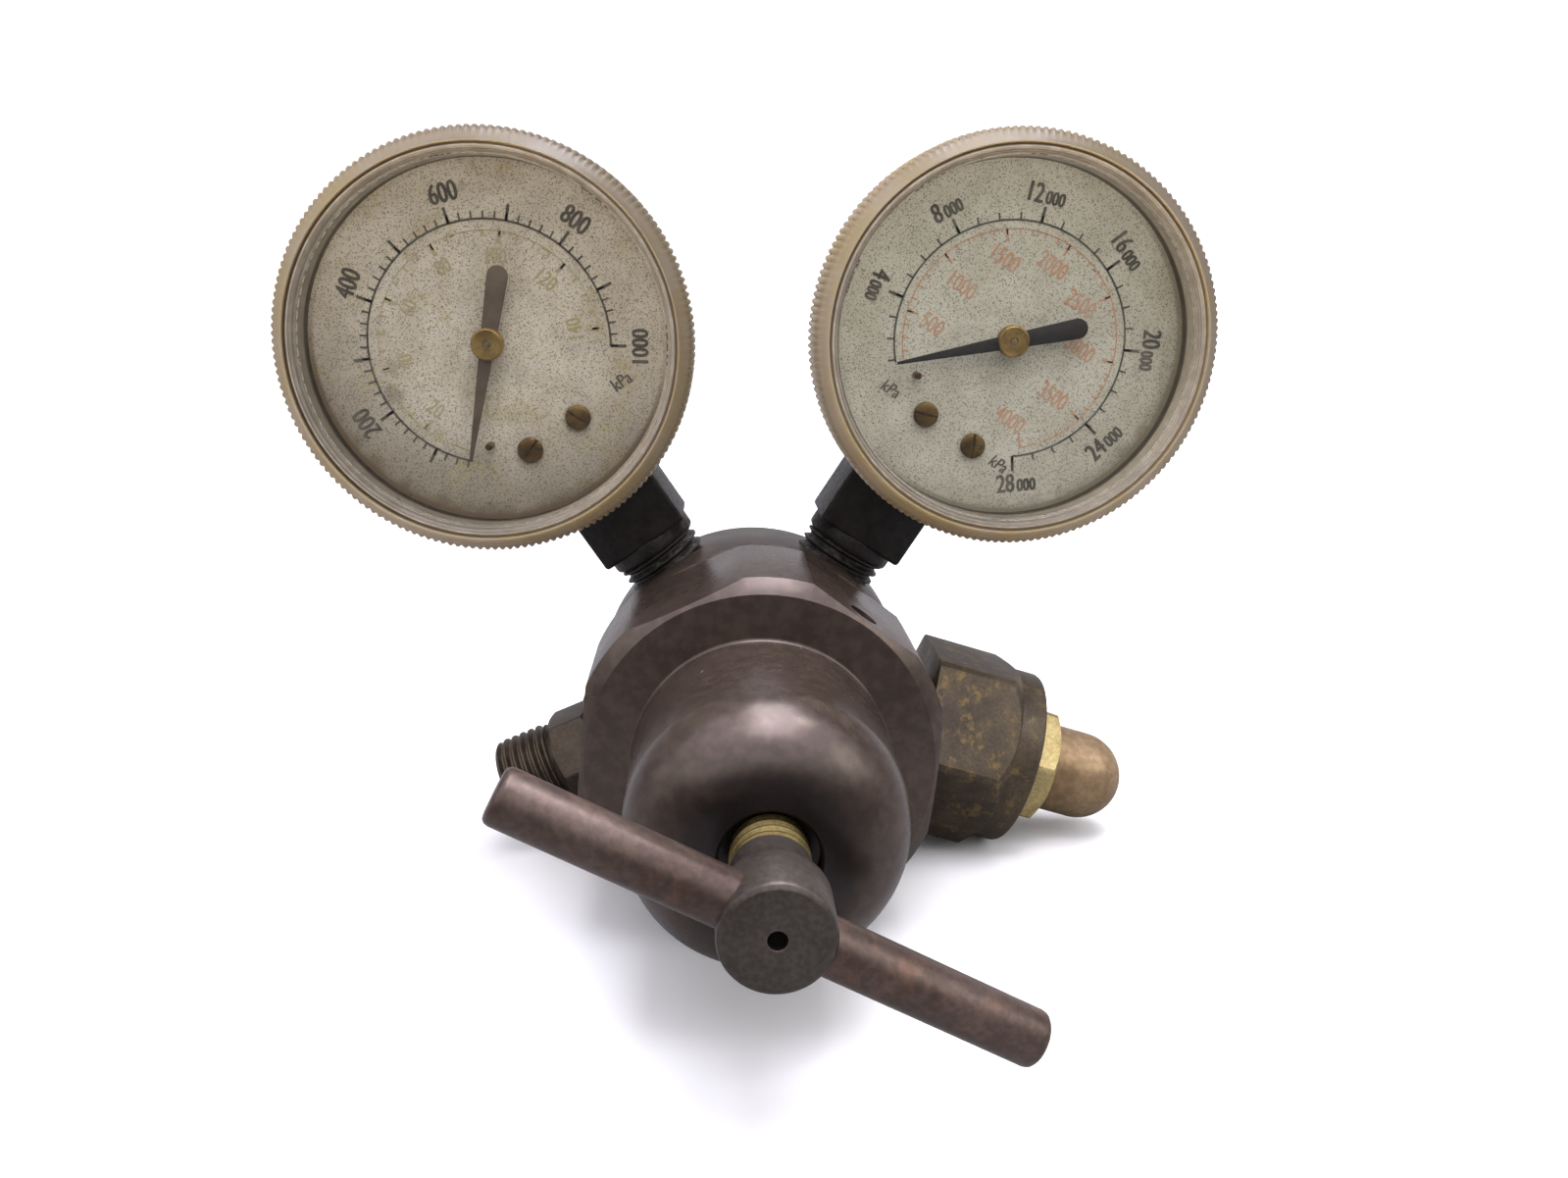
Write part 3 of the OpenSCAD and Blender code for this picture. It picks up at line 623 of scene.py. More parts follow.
class Effects:
    """The shared shader groups: oxide clouds, worn edges, dust and specks."""

    def __init__(self) -> None:
        """Builds every group once."""
        self.cloud = self.make_cloud()
        self.edges = self.make_edges()
        self.dust = self.make_dust()
        self.specks = self.make_specks()

    def make_cloud(self) -> bpy.types.NodeTree:
        """Builds soft patches and fine grain, from Vector and Scale."""
        sheet = GroupSheet("oxide_cloud", {"Scale": 120.0}, "Cloud", "Grain")
        vector, scale = sheet.given["Vector"], sheet.given["Scale"]
        patches = sheet.noise(vector, scale, 5.0, 0.6)
        grain = sheet.noise(vector, sheet.product(scale, 14.0), 2.0, 0.5)
        sheet.feed(sheet.wanted["Cloud"], sheet.spread(patches, 0.32, 0.68))
        sheet.feed(sheet.wanted["Grain"], grain)
        return sheet.tree

    def make_edges(self) -> bpy.types.NodeTree:
        """Builds a mask of worn edges, from Radius, Amount and Breakup."""
        sheet = GroupSheet("worn_edges", {"Radius": 0.0004, "Amount": 1.0, "Breakup": 900.0}, "Mask")
        rounded = sheet.add("Bevel", {"Radius": sheet.given["Radius"]}, samples=6).outputs[0]
        dot = sheet.add("VectorMath", {0: rounded, 1: sheet.normal()}, operation="DOT_PRODUCT")
        bent = sheet.spread(dot.outputs["Value"], 0.995, 0.86)
        ragged = sheet.noise(sheet.given["Vector"], sheet.given["Breakup"], 2.0, 0.5)
        worn = sheet.product(bent, sheet.spread(ragged, 0.35, 0.62, 0.25, 1.0))
        sheet.feed(sheet.wanted["Mask"], sheet.product(worn, sheet.given["Amount"], clamp=True))
        return sheet.tree

    def make_dust(self) -> bpy.types.NodeTree:
        """Builds a mask of settled dust on faces that look up, from Amount and Scale."""
        sheet = GroupSheet("settled_dust", {"Amount": 0.3, "Scale": 500.0}, "Mask")
        facing = sheet.spread(sheet.split(sheet.normal())["Z"], 0.1, 0.95)
        patches = sheet.noise(sheet.given["Vector"], sheet.given["Scale"], 6.0, 0.5)
        settled = sheet.product(facing, sheet.spread(patches, 0.42, 0.75))
        sheet.feed(sheet.wanted["Mask"], sheet.product(settled, sheet.given["Amount"], clamp=True))
        return sheet.tree

    def make_specks(self) -> bpy.types.NodeTree:
        """Builds scattered specks, from Vector, Scale, Size and Share."""
        sheet = GroupSheet("specks", {"Scale": 1000.0, "Size": 0.25, "Share": 0.4}, "Mask")
        inputs = {"Vector": sheet.given["Vector"], "Scale": sheet.given["Scale"]}
        cells = sheet.add("TexVoronoi", inputs).outputs
        dot = sheet.spread(sheet.maths("SUBTRACT", sheet.given["Size"], cells["Distance"]), 0.0, 0.12)
        luck = sheet.add("SeparateColor", {0: cells["Color"]}).outputs[0]
        chosen = sheet.maths("LESS_THAN", luck, sheet.given["Share"])
        sheet.feed(sheet.wanted["Mask"], sheet.product(dot, chosen))
        return sheet.tree


# ---------------------------------------------------------------- finishes


@dataclass(frozen=True)
class Finish:
    """A finish, which can build its material."""

    name: str

    def make(self, effects: Effects) -> bpy.types.Material:
        """Builds the material.

        Args:
            effects: The shared groups.

        Returns:
            The new material.
        """
        sheet = MaterialSheet(self.name)
        self.lay_out(sheet, effects)
        return sheet.material

    def lay_out(self, sheet: MaterialSheet, effects: Effects) -> None:
        """Lays out the nodes, which differ for each kind of finish."""
        raise NotImplementedError


@dataclass(frozen=True)
class Metal(Finish):
    """A bare or oxidised metal finish with clouds, worn edges and dust."""

    base: Colour
    light: Colour
    worn: Colour
    roughness: float = 0.34
    metallic: float = 0.85
    ior: float = 1.5
    scale: float = 90.0
    wear: float = 0.6
    edge: float = 0.0004
    dust: float = 0.12
    bump: float = 0.06
    spots: float = 0.0
    spot_colour: Colour = (0.30, 0.21, 0.08)
    patchy: float = 0.04
    flecks: float = 0.0
    fleck_colour: Colour = (0.42, 0.45, 0.40)
    dust_colour: Colour = (0.42, 0.39, 0.34)
    # Share and colour of a painted dark reflection round the bonnet's mouth.
    mouth: float = 0.0
    soot: Colour = (0.010, 0.008, 0.009)

    def lay_out(self, sheet: MaterialSheet, effects: Effects) -> None:
        """Lays out oxide clouds, spots, wear, dust and flecks over a finely bumped metal,
        with a painted dark reflection round the mouth where asked.

        Args:
            sheet: The material's sheet.
            effects: The shared groups.
        """
        at = sheet.coordinates
        cloud = sheet.use(effects.cloud, Vector=at, Scale=self.scale)
        worn = sheet.use(effects.edges, Vector=at, Radius=self.edge, Amount=self.wear)
        dust = sheet.use(effects.dust, Vector=at, Amount=self.dust)
        colour = sheet.mix(cloud["Cloud"], self.base, self.light)
        colour = sheet.toned(colour, sheet.spread(cloud["Grain"], 0.35, 0.7, 0.82, 1.12))
        if self.spots:
            blotch = sheet.noise(at, self.scale * 2.4, 6.0, 0.7)
            colour = sheet.mix(sheet.spread(blotch, 0.52, 0.66, 0.0, self.spots), colour, self.spot_colour)
        colour = sheet.mix(worn, colour, self.worn)
        colour = sheet.mix(dust, colour, self.dust_colour)
        if self.flecks:
            fleck = sheet.use(effects.specks, Vector=at, Scale=260.0, Size=0.11, Share=self.flecks)
            colour = sheet.mix(fleck, colour, self.fleck_colour)
        # Painted reflection: a dark patch round the mouth on the spring case's front.
        if self.mouth:
            colour = self.sooted(sheet, colour)
        rough = sheet.spread(
            cloud["Cloud"], 0.0, 1.0, self.roughness - self.patchy, self.roughness + self.patchy
        )
        rough = sheet.total(rough, sheet.product(dust, 0.5), clamp=True)
        height = sheet.add("Bump", {"Height": cloud["Grain"], "Strength": self.bump, "Distance": 0.0002})
        sheet.dress(Base_Color=colour, Roughness=rough, Normal=height.outputs[0])
        sheet.dress(Metallic=self.metallic, IOR=self.ior)

    def sooted(self, sheet: MaterialSheet, colour: Socket) -> Socket:
        """Paints a dark reflection round the mouth that the screw runs in.

        Args:
            sheet: The material's sheet.
            colour: The colour below.

        Returns:
            The colour with the painted dark reflection.
        """
        local = sheet.local(LAYOUT.forward())
        _, radius = sheet.flattened(local)
        front = sheet.spread(sheet.split(local)["Z"], 58.0, 66.0, 0.0, self.mouth)
        return sheet.mix(sheet.product(sheet.spread(radius, 14.5, 8.0), front), colour, self.soot)


@dataclass(frozen=True)
class Coating(Finish):
    """A painted, plated or moulded surface that isn't bare metal."""

    base: Colour
    light: Colour
    roughness: float = 0.5
    scale: float = 300.0
    grain: float = 1800.0
    bump: float = 0.2
    dust: float = 0.3
    wear: float = 0.0
    worn: Colour = (0.3, 0.3, 0.3)
    specular: float = 0.5
    dust_colour: Colour = (0.40, 0.37, 0.32)

    def lay_out(self, sheet: MaterialSheet, effects: Effects) -> None:
        """Lays out clouded paint with wear, dust and fine pits.

        Args:
            sheet: The material's sheet.
            effects: The shared groups.
        """
        at = sheet.coordinates
        cloud = sheet.use(effects.cloud, Vector=at, Scale=self.scale)
        dust = sheet.use(effects.dust, Vector=at, Amount=self.dust, Scale=900.0)
        worn = sheet.use(effects.edges, Vector=at, Amount=self.wear)
        colour = sheet.mix(cloud["Cloud"], self.base, self.light)
        colour = sheet.mix(worn, colour, self.worn)
        colour = sheet.mix(dust, colour, self.dust_colour)
        pits = sheet.noise(at, self.grain, 4.0, 0.6)
        height = sheet.add("Bump", {"Height": pits, "Strength": self.bump, "Distance": 0.0004})
        rough = sheet.spread(pits, 0.3, 0.7, self.roughness - 0.08, self.roughness + 0.1)
        sheet.dress(Base_Color=colour, Roughness=rough, Normal=height.outputs[0])
        sheet.dress(Specular_IOR_Level=self.specular)


@dataclass(frozen=True)
class DialPaint(Finish):
    """Aged paint on a dial: fine dark specks, stains and grime that gathers at the lower edge,
    with a painted shade towards one side and a painted shadow along the rim.
    """

    frame: Matrix
    base: Colour
    light: Colour
    # Colour of the grime, also used for the painted shadow along the edge.
    grime: Colour
    stain: Colour
    speck: Colour = (0.05, 0.045, 0.035)
    speck_share: float = 0.45
    # Share of the grime, and of the painted shadow along the edge.
    grime_amount: float = 0.7
    stain_amount: float = 0.3
    # Painted shade: its colour, and its share at the rim on the shaded side.
    shade: Colour = (0.25, 0.22, 0.18)
    shade_amount: float = 0.6
    grain: float = 0.5
    # Direction in which the grime gathers and the painted shade falls.
    grime_side: tuple[float, float] = (-0.6, -0.8)
    blots: tuple[tuple[float, float, float, float], ...] = ()

    def lay_out(self, sheet: MaterialSheet, effects: Effects) -> None:
        """Lays out clouded paint, a painted shade towards one side, stains, blots and specks,
        and the grime and the painted shadow at the edge.

        Args:
            sheet: The material's sheet.
            effects: The shared groups.
        """
        local = sheet.local(self.frame)
        flat, radius = sheet.flattened(local)
        axes = sheet.split(local)
        across, up = self.grime_side
        lean = sheet.total(sheet.product(axes["X"], across), sheet.product(axes["Y"], up))
        cloud = sheet.spread(sheet.noise(local, 0.16, 4.0, 0.6), 0.35, 0.65)
        colour = sheet.mix(cloud, self.base, self.light)
        # Painted shade: the paint darkens towards the rim on one side, as if less light fell there.
        shade = sheet.product(sheet.spread(radius, 8.0, 25.0), sheet.spread(lean, -12.0, 20.0, 0.15, 1.0))
        colour = sheet.mix(sheet.product(shade, self.shade_amount), colour, self.shade)
        patches = sheet.product(sheet.noise(local, 0.55, 5.0, 0.7), sheet.noise(local, 0.13, 2.0, 0.5))
        colour = sheet.mix(sheet.spread(patches, 0.26, 0.40, 0.0, self.stain_amount), colour, self.stain)
        for x, y, size, share in self.blots:
            away = sheet.add("VectorMath", {0: flat, 1: (x, y, 0.0)}, operation="DISTANCE").outputs["Value"]
            ragged = sheet.total(away, sheet.product(sheet.noise(local, 1.3, 4.0, 0.7), 1.6 * size))
            colour = sheet.mix(sheet.spread(ragged, 1.9 * size, 1.1 * size, 0.0, share), colour, self.grime)
        fine = sheet.spread(sheet.noise(local, 4.2, 2.0, 0.6), 0.53, 0.68, 0.0, self.grain)
        colour = sheet.mix(fine, colour, self.speck)
        for scale, size, share in ((2.9, 0.32, self.speck_share), (1.1, 0.17, self.speck_share * 0.35)):
            spots = sheet.use(effects.specks, Vector=local, Scale=scale, Size=size, Share=share)
            colour = sheet.mix(sheet.product(spots, 0.7), colour, self.speck)
        colour = self.grimed(sheet, colour, local, radius, lean)
        sheet.dress(Base_Color=colour, Roughness=sheet.spread(cloud, 0.0, 1.0, 0.55, 0.7))

    def grimed(
        self, sheet: MaterialSheet, colour: Socket, local: Socket, radius: Socket, lean: Socket
    ) -> Socket:
        """Adds the grime that gathers at the edge, and a painted shadow in a thin line
        along the edge under the ring's inner wall.

        Args:
            sheet: The material's sheet.
            colour: The colour below.
            local: Coordinates on the dial.
            radius: Distance from the dial's centre.
            lean: Distance towards the side where the grime gathers and the painted shade falls.

        Returns:
            The colour with the grime and the painted shadow on it.
        """
        wobble = sheet.product(sheet.noise(local, 0.35, 4.0), 5.0)
        edge = sheet.spread(sheet.total(radius, wobble), 24.2, 27.6)
        dirt = sheet.product(sheet.product(edge, sheet.spread(lean, 2.0, 22.0)), self.grime_amount)
        colour = sheet.mix(dirt, colour, self.grime)
        # Painted shadow: a thin dark line along the dial's edge, where the ring's inner wall stands over it.
        line = sheet.spread(radius, 23.9, 24.5, 0.0, self.grime_amount)
        return sheet.mix(sheet.product(line, sheet.spread(lean, -6.0, 12.0, 0.2, 1.0)), colour, self.grime)


@dataclass(frozen=True)
class Ink(Finish):
    """Printing ink that has faded unevenly into the paint below."""

    ink: Colour
    paint: Colour
    fade: float = 0.2
    scale: float = 1400.0

    def lay_out(self, sheet: MaterialSheet, effects: Effects) -> None:
        """Lays out ink that is thin in patches.

        Args:
            sheet: The material's sheet.
            effects: The shared groups.
        """
        cloud = sheet.use(effects.cloud, Vector=sheet.coordinates, Scale=self.scale)
        broad = sheet.noise(sheet.coordinates, 260.0, 2.0)
        patchy = sheet.spread(broad, 0.35, 0.7, 0.6 * self.fade, min(1.4 * self.fade, 1.0))
        thin = sheet.product(sheet.spread(cloud["Grain"], 0.4, 0.7, 0.7, 1.2), patchy, clamp=True)
        rough = sheet.spread(cloud["Cloud"], 0.0, 1.0, 0.5, 0.65)
        sheet.dress(Base_Color=sheet.mix(thin, self.ink, self.paint), Roughness=rough)


@dataclass(frozen=True)
class RingPlastic(Finish):
    """Yellowed clear plastic of a window's ring, which shows tan with darker, dirty grooves,
    and with painted highlight, painted shade and painted light in its clear part and tone.
    """

    frame: Matrix
    base: Colour
    amber: Colour
    clear: Colour
    # Colour of the dirty groove and valleys, also used for the painted dark streaks.
    grime: Colour
    # Colour of the painted highlight streaks in the clear part.
    bright: Colour
    # Colour of the painted shade at the foot of the inner wall.
    foot: Colour = (0.03, 0.021, 0.013)
    passed: Colour = (0.80, 0.76, 0.68)

    def lay_out(self, sheet: MaterialSheet, effects: Effects) -> None:
        """Lays out the tan plastic, its clear part with painted highlight and shade, its dirty groove
        and valleys, and painted light and shade that even the tone.

        Args:
            sheet: The material's sheet.
            effects: The shared groups; not used.
        """
        local = sheet.local(self.frame)
        _, radius = sheet.flattened(local)
        axes = sheet.split(local)
        patch = sheet.spread(sheet.noise(local, 0.12, 3.0), 0.35, 0.65)
        colour = sheet.mix(patch, self.base, self.amber)
        colour = self.cleared(sheet, colour, local, radius, axes["Z"])
        groove = sheet.maths("ABSOLUTE", sheet.maths("SUBTRACT", radius, GROOVE_R))
        dark = sheet.product(sheet.spread(groove, 0.22, 0.1), sheet.spread(axes["Z"], 18.5, 20.0))
        side = sheet.spread(sheet.maths("SUBTRACT", axes["Y"], axes["X"]), -8.0, 22.0, 0.35, 0.85)
        colour = sheet.mix(sheet.product(dark, side), colour, self.grime)
        valley = sheet.spread(radius, 28.5, 28.25, 0.0, 0.25)
        colour = sheet.mix(sheet.product(valley, sheet.spread(radius, 27.7, 27.95)), colour, self.grime)
        rough = sheet.spread(patch, 0.0, 1.0, 0.3, 0.42)
        sheet.dress(Base_Color=self.evened(sheet, colour), Roughness=rough, Specular_IOR_Level=0.3)
        sheet.dress(Subsurface_Weight=0.6, Subsurface_Radius=(0.004, 0.0032, 0.002), Subsurface_Scale=1.0)
        sheet.let_light_through(self.passed)

    def cleared(
        self, sheet: MaterialSheet, colour: Socket, local: Socket, radius: Socket, height: Socket
    ) -> Socket:
        """Adds the clear part inside the groove, with painted highlight streaks, painted dark streaks
        and a painted shade at its foot.

        Args:
            sheet: The material's sheet.
            colour: The colour below.
            local: Coordinates on the gauge.
            radius: Distance from the gauge's axis.
            height: Height along the gauge's axis.

        Returns:
            The colour with the clear part on it.
        """
        clear = sheet.spread(radius, 26.22, 26.12)
        colour = sheet.mix(clear, colour, self.clear)
        # Painted highlight and painted reflection: bright and dark streaks across the clear plastic.
        waves = sheet.maths("SINE", sheet.product(sheet.total(radius, height), 11.5))
        streak = sheet.noise(local, 0.45, 4.0, 0.6)
        painted_glints = sheet.product(sheet.spread(waves, 0.1, 0.9), sheet.spread(streak, 0.42, 0.66, 0.05, 0.6))
        colour = sheet.mix(sheet.product(painted_glints, clear), colour, self.bright)
        painted_dark_streaks = sheet.product(sheet.spread(waves, -0.3, -0.95), sheet.spread(streak, 0.6, 0.36, 0.05, 0.4))
        colour = sheet.mix(sheet.product(painted_dark_streaks, clear), colour, self.grime)
        # Painted shade at the foot of the inner wall, where it meets the dial.
        foot = sheet.product(sheet.spread(radius, 25.2, 25.0), sheet.spread(height, 17.3, 16.3))
        return sheet.mix(sheet.product(foot, 0.95), colour, self.foot)

    def evened(self, sheet: MaterialSheet, colour: Socket) -> Socket:
        """Paints light and shade into the tone so the plastic looks evenly lit: faces turned up
        or to +x are darkened, faces turned down or away are lightened.

        Args:
            sheet: The material's sheet.
            colour: The colour below.

        Returns:
            The colour with the painted light and shade.
        """
        facing = sheet.split(sheet.normal())
        # Painted light and shade, by the way the surface faces.
        tilt = sheet.total(facing["Z"], sheet.product(facing["X"], 0.7))
        limits = {"Value": tilt, "From Min": -1.0, "From Max": 1.0, "To Min": 1.75, "To Max": 0.42}
        return sheet.toned(colour, sheet.add("MapRange", limits).outputs["Result"])


@dataclass(frozen=True)
class LensPlastic(Finish):
    """Clear plastic of a window, with a little haze and a few specks on it."""

    tint: Colour
    speck: Colour

    def lay_out(self, sheet: MaterialSheet, effects: Effects) -> None:
        """Lays out the clear plastic, which lets lamps through to the dial.

        Args:
            sheet: The material's sheet.
            effects: The shared groups.
        """
        specks = sheet.use(effects.specks, Vector=sheet.coordinates, Scale=520.0, Size=0.16, Share=0.25)
        sheet.dress(Base_Color=sheet.mix(specks, self.tint, self.speck), Roughness=0.0, IOR=1.49)
        sheet.dress(Transmission_Weight=1.0)
        sheet.let_light_through(self.tint)


class Palette:
    """Every finish of the regulator, made once and looked up by name."""

    def __init__(self, effects: Effects) -> None:
        """Builds the finishes that don't depend on a gauge.

        Args:
            effects: The shared groups.
        """
        self.effects = effects
        self.made: dict[str, bpy.types.Material] = {}
        for finish in METALS + COATINGS:
            self.add(finish)

    def add(self, finish: Finish) -> None:
        """Builds one finish and keeps it under its name."""
        self.made[finish.name] = finish.make(self.effects)

    def get(self, name: str) -> bpy.types.Material:
        """Returns a finish by name."""
        return self.made[name]


METALS = [
    Metal(
        "bronze_body", (0.056, 0.040, 0.032), (0.084, 0.064, 0.054), (0.22, 0.17, 0.14), roughness=0.34,
        metallic=0.55, ior=1.45, spots=0.12, bump=0.03, flecks=0.04,
    ),
    # The bonnet's finish paints a dark reflection round its mouth.
    Metal(
        "bronze_bonnet", (0.064, 0.043, 0.033), (0.084, 0.060, 0.048), (0.20, 0.15, 0.12), roughness=0.27,
        metallic=0.5, ior=1.6, scale=45.0, wear=0.4, spots=0.1, spot_colour=(0.15, 0.10, 0.055),
        dust=0.04, bump=0.015, patchy=0.02, flecks=0.05, mouth=0.85,
    ),
    Metal(
        "screw_bronze", (0.060, 0.049, 0.042), (0.084, 0.070, 0.060), (0.34, 0.22, 0.16), roughness=0.36,
        metallic=0.5, ior=1.4, scale=110.0, wear=0.8, edge=0.0003, dust=0.03, bump=0.03, patchy=0.03,
    ),
    Metal(
        "handle_copper", (0.078, 0.052, 0.042), (0.115, 0.080, 0.066), (0.36, 0.19, 0.12), roughness=0.35,
        metallic=0.5, ior=1.45, scale=80.0, wear=0.6, edge=0.0005, dust=0.03, spots=0.22,
        spot_colour=(0.30, 0.15, 0.09), bump=0.02,
    ),
    Metal(
        "nut_bronze", (0.056, 0.040, 0.026), (0.098, 0.073, 0.044), (0.22, 0.155, 0.09), roughness=0.42,
        metallic=0.5, ior=1.5, scale=170.0, spots=0.6, spot_colour=(0.235, 0.16, 0.052), dust=0.06,
    ),
    Metal(
        "nipple_brass", (0.26, 0.17, 0.088), (0.38, 0.265, 0.15), (0.52, 0.38, 0.24), roughness=0.42,
        scale=60.0, spots=0.2, spot_colour=(0.20, 0.12, 0.06), dust=0.04, metallic=0.6, bump=0.015,
    ),
    Metal(
        "hexagon_brass", (0.44, 0.34, 0.14), (0.60, 0.48, 0.22), (0.62, 0.51, 0.26), roughness=0.42,
        scale=160.0, spots=0.35, spot_colour=(0.16, 0.11, 0.04), dust=0.05, metallic=0.55,
    ),
    Metal(
        "outlet_bronze", (0.046, 0.034, 0.023), (0.086, 0.063, 0.042), (0.26, 0.18, 0.10), roughness=0.42,
        metallic=0.5, ior=1.5, scale=160.0, wear=0.7, edge=0.0002, dust=0.12,
    ),
    Metal(
        "thread_brass", (0.135, 0.10, 0.036), (0.20, 0.155, 0.064), (0.30, 0.24, 0.11), roughness=0.42,
        scale=200.0, dust=0.0, metallic=0.95,
    ),
    Metal(
        "bright_brass", (0.66, 0.48, 0.18), (0.78, 0.60, 0.28), (0.85, 0.7, 0.42), roughness=0.3,
        scale=200.0, dust=0.0, metallic=1.0,
    ),
    Metal(
        "aged_brass", (0.28, 0.18, 0.062), (0.44, 0.30, 0.11), (0.46, 0.34, 0.15), roughness=0.4,
        scale=420.0, spots=0.5, spot_colour=(0.09, 0.06, 0.025), edge=0.0002, dust=0.0, metallic=0.8,
    ),
    Metal(
        "dark_brass", (0.11, 0.068, 0.026), (0.20, 0.13, 0.048), (0.24, 0.16, 0.07), roughness=0.42,
        scale=420.0, spots=0.6, spot_colour=(0.045, 0.03, 0.014), edge=0.0002, dust=0.0, metallic=0.8,
    ),
    Metal(
        "spring_steel", (0.42, 0.42, 0.41), (0.52, 0.52, 0.50), (0.6, 0.6, 0.58), roughness=0.3,
        scale=300.0, dust=0.0, metallic=1.0,
    ),
    Metal(
        "filter_bronze", (0.34, 0.24, 0.13), (0.46, 0.33, 0.18), (0.5, 0.38, 0.22), roughness=0.7,
        scale=1200.0, bump=0.8, dust=0.0,
    ),
]

COATINGS = [
    Coating(
        "stem_black", (0.0075, 0.0062, 0.0055), (0.018, 0.0155, 0.0135), roughness=0.42, grain=1300.0,
        bump=0.4, dust=0.5, wear=0.3, worn=(0.13, 0.12, 0.10), dust_colour=(0.17, 0.16, 0.135),
        specular=0.35,
    ),
    Coating(
        "case_black", (0.018, 0.017, 0.016), (0.035, 0.033, 0.03), roughness=0.4, grain=2600.0, bump=0.25,
        dust=0.1, wear=0.4, worn=(0.2, 0.19, 0.17),
    ),
    # Left pointer: its brown paint made lighter by a painted reflection of the haze on its window.
    Coating(
        "left_pointer_paint", (0.088, 0.064, 0.048), (0.125, 0.094, 0.07), roughness=0.55, grain=2400.0,
        bump=0.1, dust=0.0,
    ),
    Coating(
        "right_pointer_paint", (0.006, 0.005, 0.005), (0.014, 0.011, 0.011), roughness=0.5, grain=2400.0,
        bump=0.1, dust=0.0,
    ),
    # Painted shade: a near black lining that stands for the depth of the hub's centre hole.
    Coating(
        "hole_dirt", (0.004, 0.0035, 0.003), (0.008, 0.007, 0.006), roughness=0.9, dust=0.0,
        specular=0.05,
    ),
    Coating("rubber", (0.02, 0.02, 0.02), (0.035, 0.035, 0.035), roughness=0.7, grain=900.0, dust=0.0),
    Coating(
        "nylon", (0.62, 0.58, 0.48), (0.72, 0.68, 0.58), roughness=0.45, grain=700.0, bump=0.05, dust=0.0,
    ),
]


# ---------------------------------------------------------------- pieces


@dataclass
class Piece:
    """A finished mesh with the body it rides on, its finish and the solids that it stands for."""

    obj: bpy.types.Object
    body: str
    slot: str
    stands_for: tuple[str, ...]
    finish: str = ""
    shade: float = 32.0

    def enter(self, palette: Palette) -> None:
        """Args:
            palette: The finishes.
        """
        smooth(self.obj, self.shade)
        self.obj.data.materials.clear()
        self.obj.data.materials.append(palette.get(self.finish or self.slot))
        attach(self.obj, self.body)
        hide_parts(*self.stands_for)
        LOG.info("%s: %d faces, rides %s", self.obj.name, len(self.obj.data.polygons), self.body)


